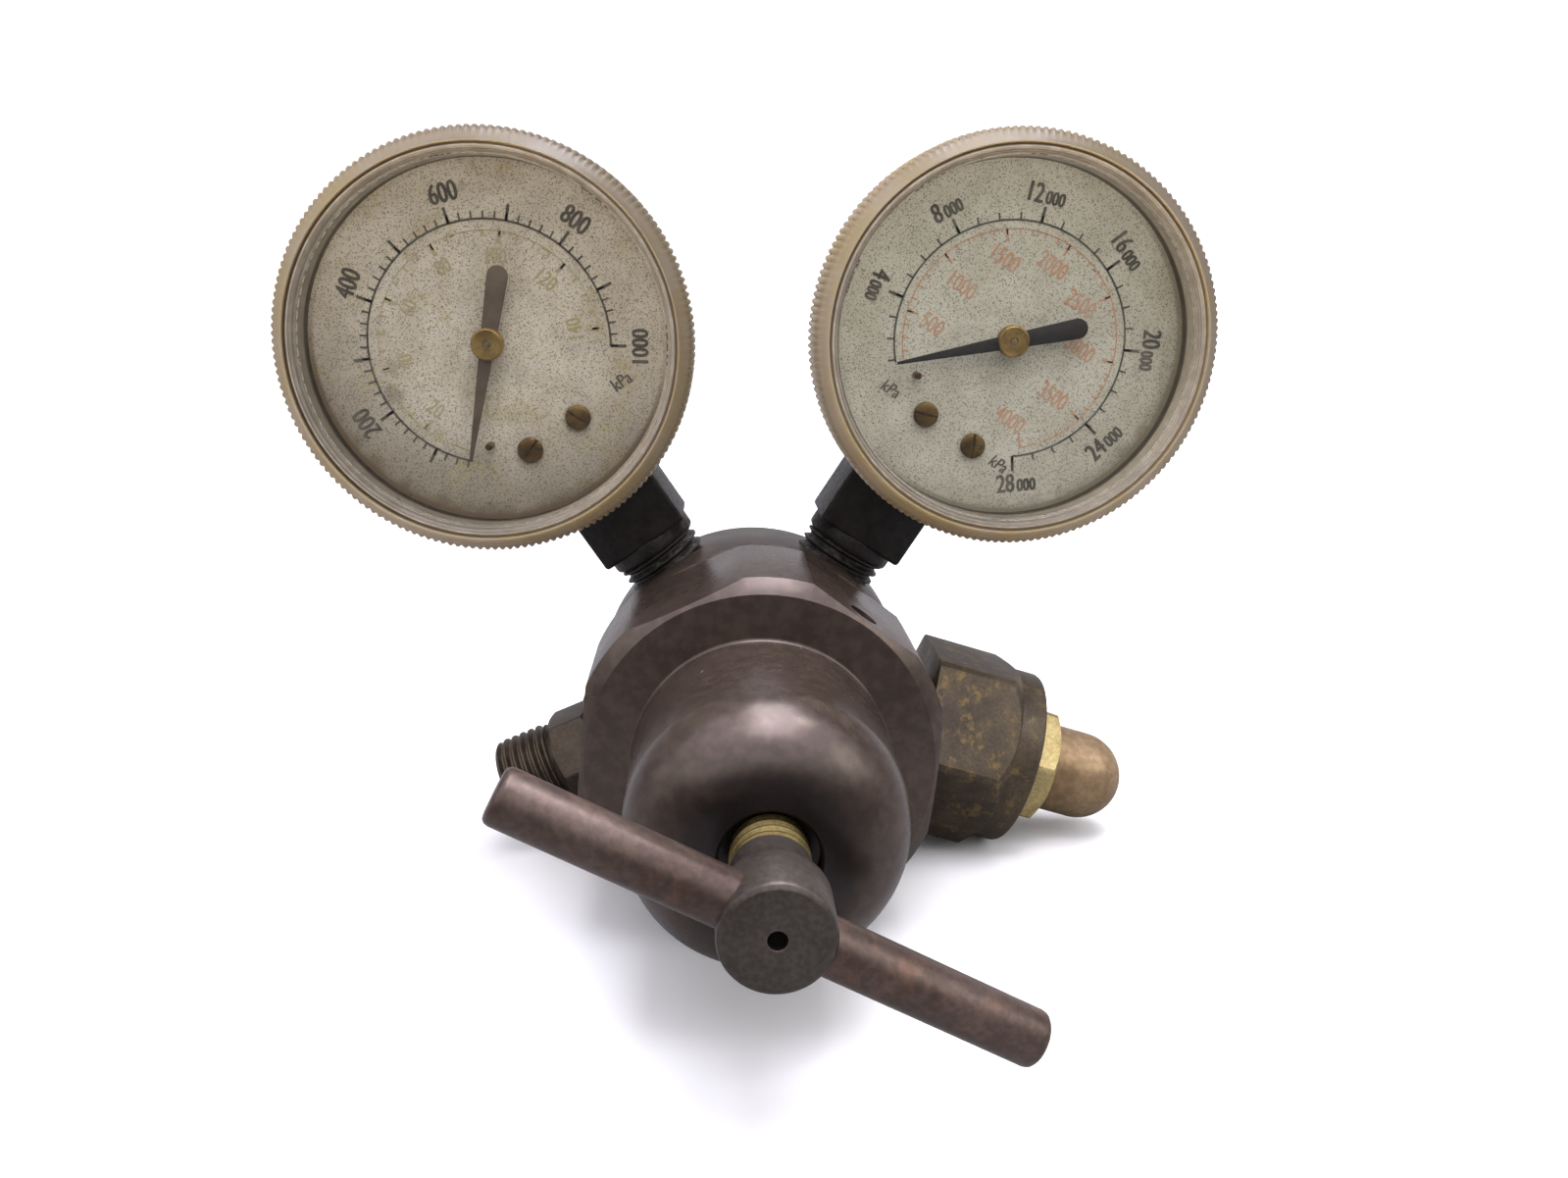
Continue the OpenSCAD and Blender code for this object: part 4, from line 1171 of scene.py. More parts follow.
@dataclass
class MainHousing:
    """The round body behind and the hexagon bonnet with its spring case in front."""

    body_r: float = 24.6
    body_len: float = 23.0
    body_chamfer: float = 3.0
    back_chamfer_r: float = 21.6
    spigot_r: float = 21.4
    spigot_top: float = 37.0
    chamber_r: float = 15.0
    chamber_bottom: float = 27.0
    valve_bore_r: float = 5.0
    valve_bore_bottom: float = 5.0
    boss_r: float = 9.5
    outlet_boss_r: float = 9.0
    boss_start: float = 17.5
    boss_end: float = 26.1
    hex_af: float = 48.8
    hex_turn_r: float = 25.9
    hex_front: float = 46.0
    hex_chamfer: float = 2.0
    first_flat: float = -6.0
    case_r: float = 17.5
    case_front: float = 75.5
    shoulder_r: float = 9.5
    thread_bore_r: float = 21.45
    spring_bore_r: float = 13.2
    ledge_z: float = 39.0
    wall_z: float = 66.5
    screw_bore_r: float = 4.81
    mouth_r: float = 5.9
    mouth_depth: float = 2.6
    vent_r: float = 2.2
    vent_dir: float = 54.0
    vent_z: float = 41.5

    def boss(self, radius: float, direction: float) -> bpy.types.Object:
        """Returns the low round boss of one port, in the forward frame."""
        start, end = self.boss_start, self.boss_end
        outline = [(0.0, start), (radius, start), (radius, end - 0.3), (radius - 0.3, end), (0.0, end)]
        return place(turned("boss", outline), LAYOUT.forward().inverted() @ LAYOUT.port(direction))

    def body(self) -> Piece:
        """Returns the body with its two bosses."""
        r, length = self.body_r, self.body_len
        outline = [
            (0.0, 0.0), (self.back_chamfer_r, 0.0), (r, self.body_chamfer), (r, length),
            (self.spigot_r, length), (self.spigot_r, self.spigot_top), (self.chamber_r, self.spigot_top),
            (self.chamber_r, self.chamber_bottom), (self.valve_bore_r, self.chamber_bottom),
            (self.valve_bore_r, self.valve_bore_bottom), (0.0, self.valve_bore_bottom),
        ]
        disc = turned("disc", outline, steps=128)
        soften(disc, 0.35)
        bosses = [self.boss(self.boss_r, LAYOUT.inlet_dir), self.boss(self.outlet_boss_r, LAYOUT.outlet_dir)]
        obj = place(joined("regulator_body", disc, *bosses), LAYOUT.forward())
        return Piece(obj, "regulator", "bronze_body", ("body",))

    def bonnet(self) -> Piece:
        """Returns the bonnet: six flats, a turned chamfer, the spring case, the mouth and the vent."""
        front, case, top = self.hex_front, self.case_r, self.case_front
        outline = [
            (self.thread_bore_r, self.body_len), (self.hex_turn_r - 0.8, self.body_len),
            (self.hex_turn_r, self.body_len + 0.8), (self.hex_turn_r, front - 0.8 * self.hex_chamfer),
            (self.hex_turn_r - self.hex_chamfer, front), (case + 0.6, front),
            *arc(case + 0.6, front + 0.6, 0.6, -90.0, -180.0, 5)[1:],
            *arc(case - self.shoulder_r, top - self.shoulder_r, self.shoulder_r, 0.0, 90.0, 18),
            (self.mouth_r + 0.35, top), (self.mouth_r, top - 0.35), (self.mouth_r, top - self.mouth_depth),
            (self.screw_bore_r, top - self.mouth_depth), (self.screw_bore_r, self.wall_z),
            (self.spring_bore_r, self.wall_z), (self.spring_bore_r, self.ledge_z),
            (self.thread_bore_r, self.ledge_z),
        ]
        obj = turned("bonnet_hexagon", outline, closed=True, steps=128)
        cut_flats(obj, self.hex_af, self.first_flat)
        soften(obj, 0.3, segments=3, angle=20.0)
        r, near, far = self.vent_r, 16.0, 30.0
        drill = turned("drill", [(0.0, near), (r, near), (r, far), (0.0, far)], steps=40)
        place(drill, shift(z=self.vent_z) @ turn(self.vent_dir, "Z") @ turn(90.0, "Y"))
        carve(obj, drill)
        return Piece(place(obj, LAYOUT.forward()), "regulator", "bronze_bonnet", ("bonnet",), shade=24.0)

    def build(self) -> list[Piece]:
        """Returns the housing's pieces."""
        return [self.body(), self.bonnet()]


@dataclass
class AdjustingScrew:
    """The adjusting screw with its hub, and the bar across it."""

    radius: float = 4.76
    root: float = 4.1
    pitch: float = 1.5875
    tip_z: float = 64.0
    neck_z: float = 78.3
    hub_r: float = 6.3
    hub_z: float = 84.0
    shoulder: float = 1.8
    face_z: float = 93.6
    hole_r: float = 1.05
    bar_r: float = 3.175
    bar_len: float = 63.5
    bar_z: float = 89.5
    bar_slope: float = 28.0

    def thread(self) -> Piece:
        """Returns the wound thread, bright where it runs in the mouth."""
        root, low = self.root, self.tip_z
        obj = wound_thread("screw_thread", self.radius, root, self.pitch, low + 0.6, self.neck_z + 0.4)
        tip = turned("tip", [(0.0, low), (root - 1.0, low), (root, low + 1.0), (0.0, low + 1.0)])
        obj = place(joined("screw_thread", obj, tip), LAYOUT.forward())
        return Piece(obj, "screw", "screw_bronze", ("adjusting_screw",), finish="thread_brass")

    def hub(self) -> Piece:
        """Returns the plain neck and the hub, with a sloping shoulder, a centre hole and softened rims."""
        r, neck, foot, face = self.hub_r, self.radius, self.hub_z, self.face_z
        outline = [
            (0.0, self.neck_z), (neck - 0.35, self.neck_z), (neck, self.neck_z + 0.35), (neck, foot - 0.4),
            (neck + 0.12, foot), (r - 0.35, foot + self.shoulder - 0.5), (r, foot + self.shoulder),
            (r, face - 0.75), (r - 0.18, face - 0.32), (r - 0.7, face), (self.hole_r + 0.1, face),
            (self.hole_r, face - 0.1), (self.hole_r, face - 0.9), (0.0, face - 0.9),
        ]
        obj = turned("screw_hub", outline)
        soften(obj, 0.12)
        return Piece(place(obj, LAYOUT.forward()), "screw", "screw_bronze", ("adjusting_screw",))

    def dirt(self) -> Piece:
        """Returns the dark lining of the hub's centre hole, a painted shade that stands for its depth."""
        r, low, top = self.hole_r - 0.01, self.face_z - 0.88, self.face_z - 0.08
        outline = [(0.0, low), (r, low), (r, top), (r - 0.04, top), (r - 0.04, low + 0.04), (0.0, low + 0.04)]
        # Painted shade inside the centre hole.
        obj = place(turned("centre_hole_dirt", outline, steps=32), LAYOUT.forward())
        return Piece(obj, "screw", "screw_bronze", ("adjusting_screw",), finish="hole_dirt")

    def bar(self) -> Piece:
        """Returns the bar, with ends rounded off by use."""
        half, r = self.bar_len / 2.0, self.bar_r
        end = [(r, half - 0.9), (r - 0.12, half - 0.42), (r - 0.45, half - 0.1), (r - 0.9, half), (0.0, half)]
        outline = [(x, -z) for x, z in reversed(end)] + end
        obj = turned("handle_bar_turned", outline, steps=64)
        frame = LAYOUT.forward() @ shift(z=self.bar_z) @ turn(-self.bar_slope, "Z") @ turn(90.0, "Y")
        return Piece(place(obj, frame), "screw", "handle_copper", ("handle_bar",))

    def build(self) -> list[Piece]:
        """Returns the pieces that turn together."""
        return [self.thread(), self.hub(), self.dirt(), self.bar()]


@dataclass
class Inlet:
    """The inlet nipple with its hexagon and nose, and the loose nut on it."""

    seat: float = 26.4
    nut_af: float = 28.6
    nut_corner_r: float = 16.21
    nut_front: float = 45.4
    collar_r: float = 14.2
    collar_len: float = 4.2
    front_taper: float = 2.2
    shank_bore_r: float = 6.25
    thread_r: float = 10.8
    lip: float = 4.0
    pipe_r: float = 6.6
    pipe_start: float = 14.6
    shank_r: float = 6.2
    hex_af: float = 17.5
    hex_corner_r: float = 9.9
    hex_back: float = 44.2
    hex_front: float = 50.2
    hex_turn: float = -13.0
    nose_r: float = 7.14
    nose_centre: float = 56.76
    bore_r: float = 2.0

    def nut(self) -> Piece:
        """Returns the nut, hexagon behind and turned collar in front, with its thread inside."""
        back, front, corner, collar = self.seat, self.nut_front, self.nut_corner_r, self.collar_r
        flats_end = front - self.collar_len
        outline = [
            (self.shank_bore_r, back), (corner, back), (corner, flats_end - self.front_taper),
            (collar, flats_end), (collar, front - 0.6), (collar - 0.18, front - 0.18), (collar - 0.6, front),
            (self.thread_r + 0.8, front), (self.thread_r, front - 0.8), (self.thread_r, back + self.lip),
            (self.shank_bore_r, back + self.lip),
        ]
        obj = turned("inlet_nut_turned", outline, closed=True)
        cut_flats(obj, self.nut_af, 30.0)
        soften(obj, 0.25, segments=2, angle=24.0)
        place(obj, LAYOUT.port(LAYOUT.inlet_dir))
        return Piece(obj, "inlet_nut", "nut_bronze", ("inlet_nut",), shade=28.0)

    def nose(self) -> Piece:
        """Returns the round nose with its gas bore."""
        start, lip = self.hex_front - 0.5, math.degrees(math.acos((self.bore_r + 0.3) / self.nose_r))
        outline = [
            (self.bore_r, start), (self.nose_r, start),
            *arc(0.0, self.nose_centre, self.nose_r, 0.0, lip, 20),
            (self.bore_r, self.nose_centre + self.nose_r * math.sin(math.radians(lip)) - 0.3),
        ]
        obj = turned("nipple_nose", outline, closed=True)
        place(obj, LAYOUT.port(LAYOUT.inlet_dir))
        return Piece(obj, "regulator", "nipple_brass", ("inlet_nipple",))

    def hexagon(self) -> Piece:
        """Returns the nipple's shank and hexagon."""
        corner, back, front = self.hex_corner_r, self.hex_back, self.hex_front
        outline = [
            (self.bore_r, self.pipe_start), (self.pipe_r, self.pipe_start), (self.pipe_r, self.seat - 0.3),
            (self.shank_r, self.seat - 0.3), (self.shank_r, back), (corner - 1.1, back), (corner, back + 0.6),
            (corner, front - 0.8), (self.hex_af / 2.0 - 0.1, front), (self.bore_r, front),
        ]
        obj = turned("nipple_hexagon", outline, closed=True)
        cut_flats(obj, self.hex_af, self.hex_turn + 30.0)
        soften(obj, 0.12, angle=24.0)
        place(obj, LAYOUT.port(LAYOUT.inlet_dir))
        return Piece(obj, "regulator", "nipple_brass", ("inlet_nipple",), finish="hexagon_brass")

    def build(self) -> list[Piece]:
        """Returns the inlet's pieces."""
        return [self.nut(), self.hexagon(), self.nose()]


@dataclass
class Outlet:
    """The outlet fitting: a small hexagon, a groove and a wound thread with a coned mouth."""

    pipe_r: float = 6.6
    pipe_start: float = 14.6
    hex_af: float = 14.6
    hex_corner_r: float = 8.35
    hex_back: float = 26.4
    hex_front: float = 32.9
    groove_r: float = 5.84
    thread_r: float = 7.14
    thread_depth: float = 0.78
    pitch: float = 1.411
    thread_back: float = 34.2
    tip: float = 42.6
    mouth_r: float = 4.6
    bore_r: float = 2.0

    def hexagon(self) -> bpy.types.Object:
        """Returns the hexagon with its pipe end and the groove."""
        corner = self.hex_corner_r
        outline = [
            (0.0, self.pipe_start), (self.pipe_r, self.pipe_start), (self.pipe_r, self.hex_back),
            (corner - 0.8, self.hex_back), (corner, self.hex_back + 0.5), (corner, self.hex_front - 0.6),
            (corner - 1.0, self.hex_front), (self.groove_r, self.hex_front),
            (self.groove_r, self.thread_back + 1.0), (0.0, self.thread_back + 1.0),
        ]
        obj = turned("hexagon", outline)
        cut_flats(obj, self.hex_af, 30.0)
        soften(obj, 0.15, angle=24.0)
        return obj

    def thread(self) -> bpy.types.Object:
        """Returns the thread with a chamfered start and the coned mouth."""
        r, tip, back = self.thread_r, self.tip, self.thread_back
        obj = wound_thread("thread", r, r - self.thread_depth, self.pitch, back, tip, steps=48)
        limit = [
            (0.0, back - 1.0), (r - 0.8, back - 1.0), (r + 0.3, back + 0.9), (r + 0.3, tip - 0.9),
            (r - 0.65, tip - 0.01), (0.0, tip - 0.01),
        ]
        carve(obj, turned("limit", limit), operation="INTERSECT")
        foot = tip - (self.mouth_r - self.bore_r)
        cone = [
            (0.0, foot - 4.0), (self.bore_r, foot - 4.0), (self.bore_r, foot), (self.mouth_r, tip),
            (self.mouth_r, tip + 1.0), (0.0, tip + 1.0),
        ]
        carve(obj, turned("cone", cone, steps=48))
        return obj

    def build(self) -> list[Piece]:
        """Returns the outlet as one piece."""
        obj = joined("outlet_fitting_cut", self.hexagon(), self.thread())
        place(obj, LAYOUT.port(LAYOUT.outlet_dir))
        return [Piece(obj, "regulator", "outlet_bronze", ("outlet_fitting",))]


# ---------------------------------------------------------------- gauges

# Blots of grime on each dial: x, y, size and share.
LEFT_BLOTS = (
    (4.15, -15.2, 2.1, 0.75), (-4.15, -15.2, 2.1, 0.7), (-15.4, 1.6, 1.9, 0.45),
    (-13.2, 4.6, 1.5, 0.4), (9.4, 19.0, 1.0, 0.3),
)
RIGHT_BLOTS = ((4.15, -15.2, 1.7, 0.35), (-4.15, -15.2, 1.7, 0.35), (2.5, 5.0, 0.8, 0.25))


class Side(Enum):
    """Which gauge, with the sign of its lean."""

    LEFT = 1
    RIGHT = -1

    @property
    def label(self) -> str:
        """Returns the word that starts the names of this gauge's nodes."""
        return self.name.lower()


class Tint(Enum):
    """The inks that the dials are printed in."""

    BLACK = "black"
    SALMON = "salmon"
    YELLOW = "yellow"


@dataclass(frozen=True)
class Marks:
    """A row of equal marks: how many steps, from which clock angle, over what sweep, and their size.

    A negative length puts the marks inside the arc.
    """

    steps: int
    start: float
    sweep: float
    length: float
    width: float


@dataclass(frozen=True)
class Scale:
    """A printed arc from its first clock angle over its sweep, with its rows of marks."""

    tint: Tint
    radius: float
    line: float
    start: float
    sweep: float
    rows: tuple[Marks, ...]


@dataclass(frozen=True)
class Figure:
    """One printed figure: its text, its clock angle from the stem, its radius and its heights."""

    text: str
    angle: float
    radius: float
    height: float = 2.75
    tail: str = ""
    tail_height: float = 1.9
    tail_gap: float = 0.14
    tint: Tint = Tint.BLACK
    narrow: float = 0.7
    weight: float = 0.1
    upright: bool = False
    slant: float = 0.0


@dataclass(frozen=True)
class Face:
    """What is printed on one dial, and where its pointer rests."""

    side: Side
    zero: float
    scales: tuple[Scale, ...]
    figures: tuple[Figure, ...]


@dataclass
class Gauge:
    """One gauge: socket, case, window, dial with its printing, screws and pointer."""

    face: Face
    window_r: float = 28.65
    case_r: float = 26.2
    case_back: float = 8.5
    case_wall: float = 0.8
    dial_z: float = 14.6
    dial_r: float = 25.1
    dial_t: float = 0.8
    lens_r: float = 25.2
    lens_in: float = 19.4
    lens_out: float = 21.2
    ring_front: float = 22.0
    ring_back: float = 9.0
    throat_r: float = 26.25
    throat_z: float = 14.85
    groove_z: float = 21.15
    teeth: int = 170
    tooth_depth: float = 0.42
    block_w: float = 14.3
    block_low: float = -37.0
    block_high: float = -12.5
    collar_r: float = 7.0
    collar_low: float = -39.4
    pipe_low: float = -51.8
    pipe_r: float = 6.6
    pipe_pitch: float = 1.411
    screw_x: float = 4.15
    screw_y: float = -15.2
    screw_r: float = 1.8
    shaft_r: float = 0.78
    shaft_len: float = 4.4
    slot_half: float = 0.2
    case_screw_x: float = 4.0
    case_screw_y: float = -19.0
    pointer_z: float = 16.2
    pointer_t: float = 0.5
    tip_len: float = 16.6
    tail_len: float = 10.8
    tail_w: float = 2.9
    waist: float = 2.1
    tip_w: float = 0.4
    hub_r: float = 2.25
    pin_r: float = 0.5
    pin_reach: float = 14.2
    print_t: float = 0.03
    frame: Matrix = field(init=False)

    def __post_init__(self) -> None:
        """Finds the gauge's frame."""
        self.frame = LAYOUT.gauge(self.face.side.value)

    def named(self, word: str) -> str:
        """Returns a name that starts with this gauge's side."""
        return f"{self.face.side.label}_{word}"

    def direction(self, from_stem: float) -> Matrix:
        """Returns the turn that points x to a place on the dial, clockwise from the stem."""
        return turn(-90.0 - from_stem, "Z")

    def socket(self) -> Piece:
        """Returns the square block, its round collar and the pipe thread below."""
        half, low, high = self.block_w / 2.0, self.block_low, self.block_high
        block = brick("block", (-half, low, -half), (half, high, half))
        soften(block, 0.55, segments=3)
        aside, front = half - 0.05, self.dial_z - self.dial_t
        carrier = brick("carrier", (-aside, 1.2 - self.dial_r, 0.0), (aside, high - 0.1, front))
        soften(carrier, 0.3)
        r, end = self.collar_r, self.collar_low
        outline = [
            (0.0, end), (r - 0.7, end), (r - 0.1, end + 0.45), (r, end + 0.8), (r, low + 0.5),
            (0.0, low + 0.5),
        ]
        collar = turned("collar", outline)
        soften(collar, 0.12)
        r = self.pipe_r
        pipe = wound_thread("pipe", r, r - 0.75, self.pipe_pitch, self.pipe_low, end + 0.3)
        for part in (collar, pipe):
            place(part, turn(-90.0, "X"))
        obj = place(joined(self.named("socket_block"), block, carrier, collar, pipe), self.frame)
        return Piece(obj, "regulator", "stem_black", (self.named("socket"),))

    def case(self) -> Piece:
        """Returns the case: a deep drawn cup with a slot for the block."""
        r, back, wall = self.case_r, -self.case_back, self.case_wall
        outer, inner = 2.2, 1.4
        outline = [
            (0.0, back), (r - 6.5, back), (r - 6.0, back + 0.35), (r - 5.4, back + 0.35), (r - 4.9, back),
            *arc(r - outer, back + outer, outer, -90.0, 0.0, 8), (r, self.dial_z), (r - wall, self.dial_z),
            *arc(r - wall - inner, back + wall + inner, inner, 0.0, -90.0, 6), (0.0, back + wall),
        ]
        obj = turned(self.named("case_cup"), outline, steps=128)
        gap = self.block_w / 2.0 + 0.12
        carve(obj, brick("slot", (-gap, -r - 2.0, -gap), (gap, self.block_high - 0.2, gap)))
        return Piece(place(obj, self.frame), "regulator", "case_black", (self.named("case"),))

    def ring(self) -> Piece:
        """Returns the window's ring: one tooth of its knurl, modelled once and repeated round."""
        step = FULL_TURN / self.teeth
        outside = self.window_r - self.tooth_depth
        front, back, throat, low = self.ring_front, self.ring_back, self.throat_r, self.groove_z
        outline = [
            (throat, back), (27.6, back), (27.8, 9.3), (27.8, 11.2), (outside, 12.0), (outside, 19.1),
            (27.95, 20.35), (27.3, 21.0), (26.7, front - 0.3), (26.5, front), (26.36, front - 0.05),
            (GROOVE_R + 0.1, low), (GROOVE_R - 0.1, low), (25.92, front - 0.2), (25.7, front - 0.16),
            (25.5, front - 0.5), (25.3, front - 0.55), (25.22, self.lens_out - 0.1), (24.85, 20.6),
            (24.8, self.throat_z), (throat, self.throat_z),
        ]
        obj = chain(self.named("window_ring"), [(r, 0.0, z) for r, z in outline + [outline[0]]])
        bpy.ops.mesh.select_all(action="SELECT")
        bpy.ops.mesh.spin(steps=3, angle=step, center=CENTRE, axis=COUNTER)
        tidy_mesh()
        shut()
        for low, high, rise in ((11.9, 19.2, self.tooth_depth), (20.2, 20.5, 0.35 * self.tooth_depth)):
            for vertex in obj.data.vertices:
                x, y, z = vertex.co
                between = 0.2 * step < math.atan2(y, x) < 0.8 * step
                vertex.select = between and low < z < high and math.hypot(x, y) > 27.9
            for group in (obj.data.edges, obj.data.polygons):
                group.foreach_set("select", [False] * len(group))
            pick(obj)
            bpy.ops.object.mode_set(mode="EDIT")
            bpy.ops.transform.translate(value=(rise * math.cos(step / 2.0), rise * math.sin(step / 2.0), 0.0))
            shut()
        edit(obj)
        bpy.ops.mesh.spin(
            steps=self.teeth - 1, dupli=True, angle=FULL_TURN - step, center=CENTRE, axis=COUNTER
        )
        tidy_mesh()
        shut()
        place(obj, self.frame)
        finish = self.named("ring_plastic")
        return Piece(obj, "regulator", "clear_plastic", (self.named("window"),), finish, shade=40.0)

    def lens(self) -> Piece:
        """Returns the clear window with a softened rim."""
        r, low, high = self.lens_r, self.lens_in, self.lens_out
        outline = [
            (0.0, low), (r - 0.35, low), (r - 0.35, high - 0.9), (r - 0.1, high - 0.35), (r - 0.35, high),
            (0.0, high),
        ]
        obj = turned(self.named("window_lens"), outline)
        finish = self.named("lens_plastic")
        return Piece(place(obj, self.frame), "regulator", "clear_plastic", (self.named("window"),), finish)

    def dial(self) -> Piece:
        """Returns the dial plate with its rolled rim."""
        r, low, top = self.dial_r, self.dial_z - self.dial_t, self.dial_z
        outline = [(0.0, low), (r - 0.15, low), (r, low + 0.2), (r, top - 0.2), (r - 0.2, top), (0.0, top)]
        obj = turned(self.named("dial_plate"), outline)
        slot = self.named("dial_paint")
        return Piece(place(obj, self.frame), "regulator", slot, (self.named("dial"),))

    def scale_marks(self, scale: Scale) -> list[bpy.types.Object]:
        """Returns the arc and the marks of one scale, in the gauge's frame.

        Args:
            scale: The scale to print.

        Returns:
            The meshes, not yet joined.
        """
        z, top, half = self.dial_z, self.dial_z + self.print_t, scale.line / 2.0
        near, far = scale.radius - half, scale.radius + half
        corners = [(near, 0.0, z), (far, 0.0, z), (far, 0.0, top), (near, 0.0, top), (near, 0.0, z)]
        arc_line = chain("arc", corners)
        bpy.ops.mesh.select_all(action="SELECT")
        bpy.ops.mesh.remove_doubles(threshold=MERGE_GAP)
        bpy.ops.mesh.select_all(action="SELECT")
        bpy.ops.mesh.edge_face_add()
        bpy.ops.mesh.spin(steps=96, angle=math.radians(scale.sweep), center=CENTRE, axis=CLOCKWISE)
        tidy_mesh()
        shut()
        made = [place(arc_line, self.direction(scale.start))]
        for row in scale.rows:
            near, far = sorted((scale.radius, scale.radius + row.length))
            mark = brick("mark", (near, -row.width / 2.0, z), (far, row.width / 2.0, top))
            edit(mark)
            bpy.ops.mesh.spin(
                steps=row.steps, dupli=True, angle=math.radians(row.sweep), center=CENTRE, axis=CLOCKWISE
            )
            shut()
            made.append(place(mark, self.direction(row.start)))
        return made

    def words(self, text: str, height: float, narrow: float, weight: float, slant: float) -> bpy.types.Object:
        """Returns text as a thin closed mesh whose lower left corner is at the origin.

        Args:
            text: What to print.
            height: Height of its capitals in millimetres.
            narrow: Share of the usual width.
            weight: How far the strokes are thickened, by two copies moved sideways.
            slant: Shear of the letters.

        Returns:
            The mesh.
        """
        settle()
        bpy.ops.object.text_add()
        obj = bpy.context.object
        obj.data.body = text
        obj.data.size = height / CAPITAL_SHARE
        obj.data.shear = slant
        obj.data.extrude = self.print_t / 2.0
        obj.data.resolution_u = 3
        bpy.ops.object.convert(target="MESH")
        low = Vector([min(v.co[i] for v in obj.data.vertices) for i in range(3)])
        edit(obj)
        bpy.ops.transform.translate(value=-low)
        bpy.ops.transform.resize(value=(narrow, 1.0, 1.0), center_override=CENTRE)
        bpy.ops.mesh.remove_doubles(threshold=1e-5)
        bpy.ops.mesh.select_all(action="SELECT")
        for aside in (0.0, 0.35 * weight):
            move = (weight, aside, 0.25 * self.print_t)
            bpy.ops.mesh.duplicate_move(TRANSFORM_OT_translate={"value": move})
        shut()
        return obj

    def figure(self, figure: Figure) -> bpy.types.Object:
        """Returns one printed figure at its place on the dial.

        Args:
            figure: What to print and where.

        Returns:
            The mesh, in the gauge's frame.
        """
        obj = self.words(figure.text, figure.height, figure.narrow, figure.weight, figure.slant)
        if figure.tail:
            tail = self.words(figure.tail, figure.tail_height, figure.narrow, figure.weight, figure.slant)
            width = max(v.co.x for v in obj.data.vertices)
            place(tail, shift(x=width + figure.tail_gap * figure.tail_height))
            obj = joined("figure", obj, tail)
        high = Vector([max(v.co[i] for v in obj.data.vertices) for i in range(3)])
        clock = (180.0 + figure.angle) % 360.0
        inward = 90.0 < clock < 270.0
        facing = 0.0 if figure.upright else -clock + (180.0 if inward else 0.0)
        a = math.radians(90.0 - clock)
        spot = shift(figure.radius * math.cos(a), figure.radius * math.sin(a), self.dial_z)
        place(obj, spot @ turn(facing, "Z") @ shift(-high.x / 2.0, -high.y / 2.0))
        return obj

    def printing(self) -> list[Piece]:
        """Returns the dial's printing, one piece for each ink."""
        pieces = []
        for tint in Tint:
            scales = [scale for scale in self.face.scales if scale.tint is tint]
            made = [obj for scale in scales for obj in self.scale_marks(scale)]
            made += [self.figure(f) for f in self.face.figures if f.tint is tint]
            if made:
                obj = place(joined(self.named(f"dial_print_{tint.value}"), *made), self.frame)
                slot = self.named("dial_paint")
                finish = self.named(f"ink_{tint.value}")
                pieces.append(Piece(obj, "regulator", slot, (self.named("dial"),), finish, shade=10.0))
        return pieces

    def slotted_head(self, x: float, y: float, seat: float, rise: float, way: float) -> bpy.types.Object:
        """Returns a slotted screw with a domed head.

        Args:
            x: Place of its axis.
            y: Place of its axis.
            seat: Height of the face that it clamps.
            rise: How far the head stands out, negative towards the back.
            way: Direction of its slot in degrees.

        Returns:
            The screw, in the gauge's frame.
        """
        r, up = self.screw_r, abs(rise)
        angles = [math.radians(a) for a in (12, 35, 60)]
        dome = [(r * math.cos(a), 0.55 * up + 0.45 * up * math.sin(a)) for a in angles]
        shaft, foot, half = self.shaft_r, -self.shaft_len, self.slot_half
        outline = [(0.0, foot), (shaft, foot), (shaft, 0.0), (r, 0.0), (r, 0.5 * up), *dome, (0.0, up)]
        obj = turned("screw", outline, steps=40)
        groove = brick("groove", (-2.0 * r, -half, 0.45 * up), (2.0 * r, half, 2.0 * up))
        place(groove, turn(way, "Z"))
        carve(obj, groove)
        soften(obj, 0.05, segments=1)
        flip = turn(180.0, "X") if rise < 0.0 else Matrix.Identity(4)
        place(obj, shift(x, y, seat) @ flip)
        return obj

    def fixings(self) -> list[Piece]:
        """Returns the dial's two screws with the stop pin, and the two screws in the case's back."""
        front = [
            self.slotted_head(-self.screw_x, self.screw_y, self.dial_z, 0.8, 20.0),
            self.slotted_head(self.screw_x, self.screw_y, self.dial_z, 0.8, 115.0),
        ]
        r, z = self.pin_r, self.dial_z
        outline = [(0.0, z - 0.3), (r, z - 0.3), (r, z + 2.4), (r - 0.15, z + 2.6), (0.0, z + 2.6)]
        pin = turned("pin", outline, steps=24)
        lag = math.degrees((self.tail_w / 2.0 + r + 0.3) / self.pin_reach)
        place(pin, self.direction(self.face.zero - lag) @ shift(x=self.pin_reach))
        back = [
            self.slotted_head(-self.case_screw_x, self.case_screw_y, -self.case_back, -1.0, 30.0),
            self.slotted_head(self.case_screw_x, self.case_screw_y, -self.case_back, -1.0, 100.0),
        ]
        pieces = []
        for word, node, parts in (
            ("dial_screws", "dial_fixings", [*front, pin]), ("back_screws", "case_screws", back)
        ):
            obj = place(joined(self.named(word), *parts), self.frame)
            pieces.append(Piece(obj, "regulator", "aged_brass", (self.named(node),), finish="dark_brass"))
        return pieces

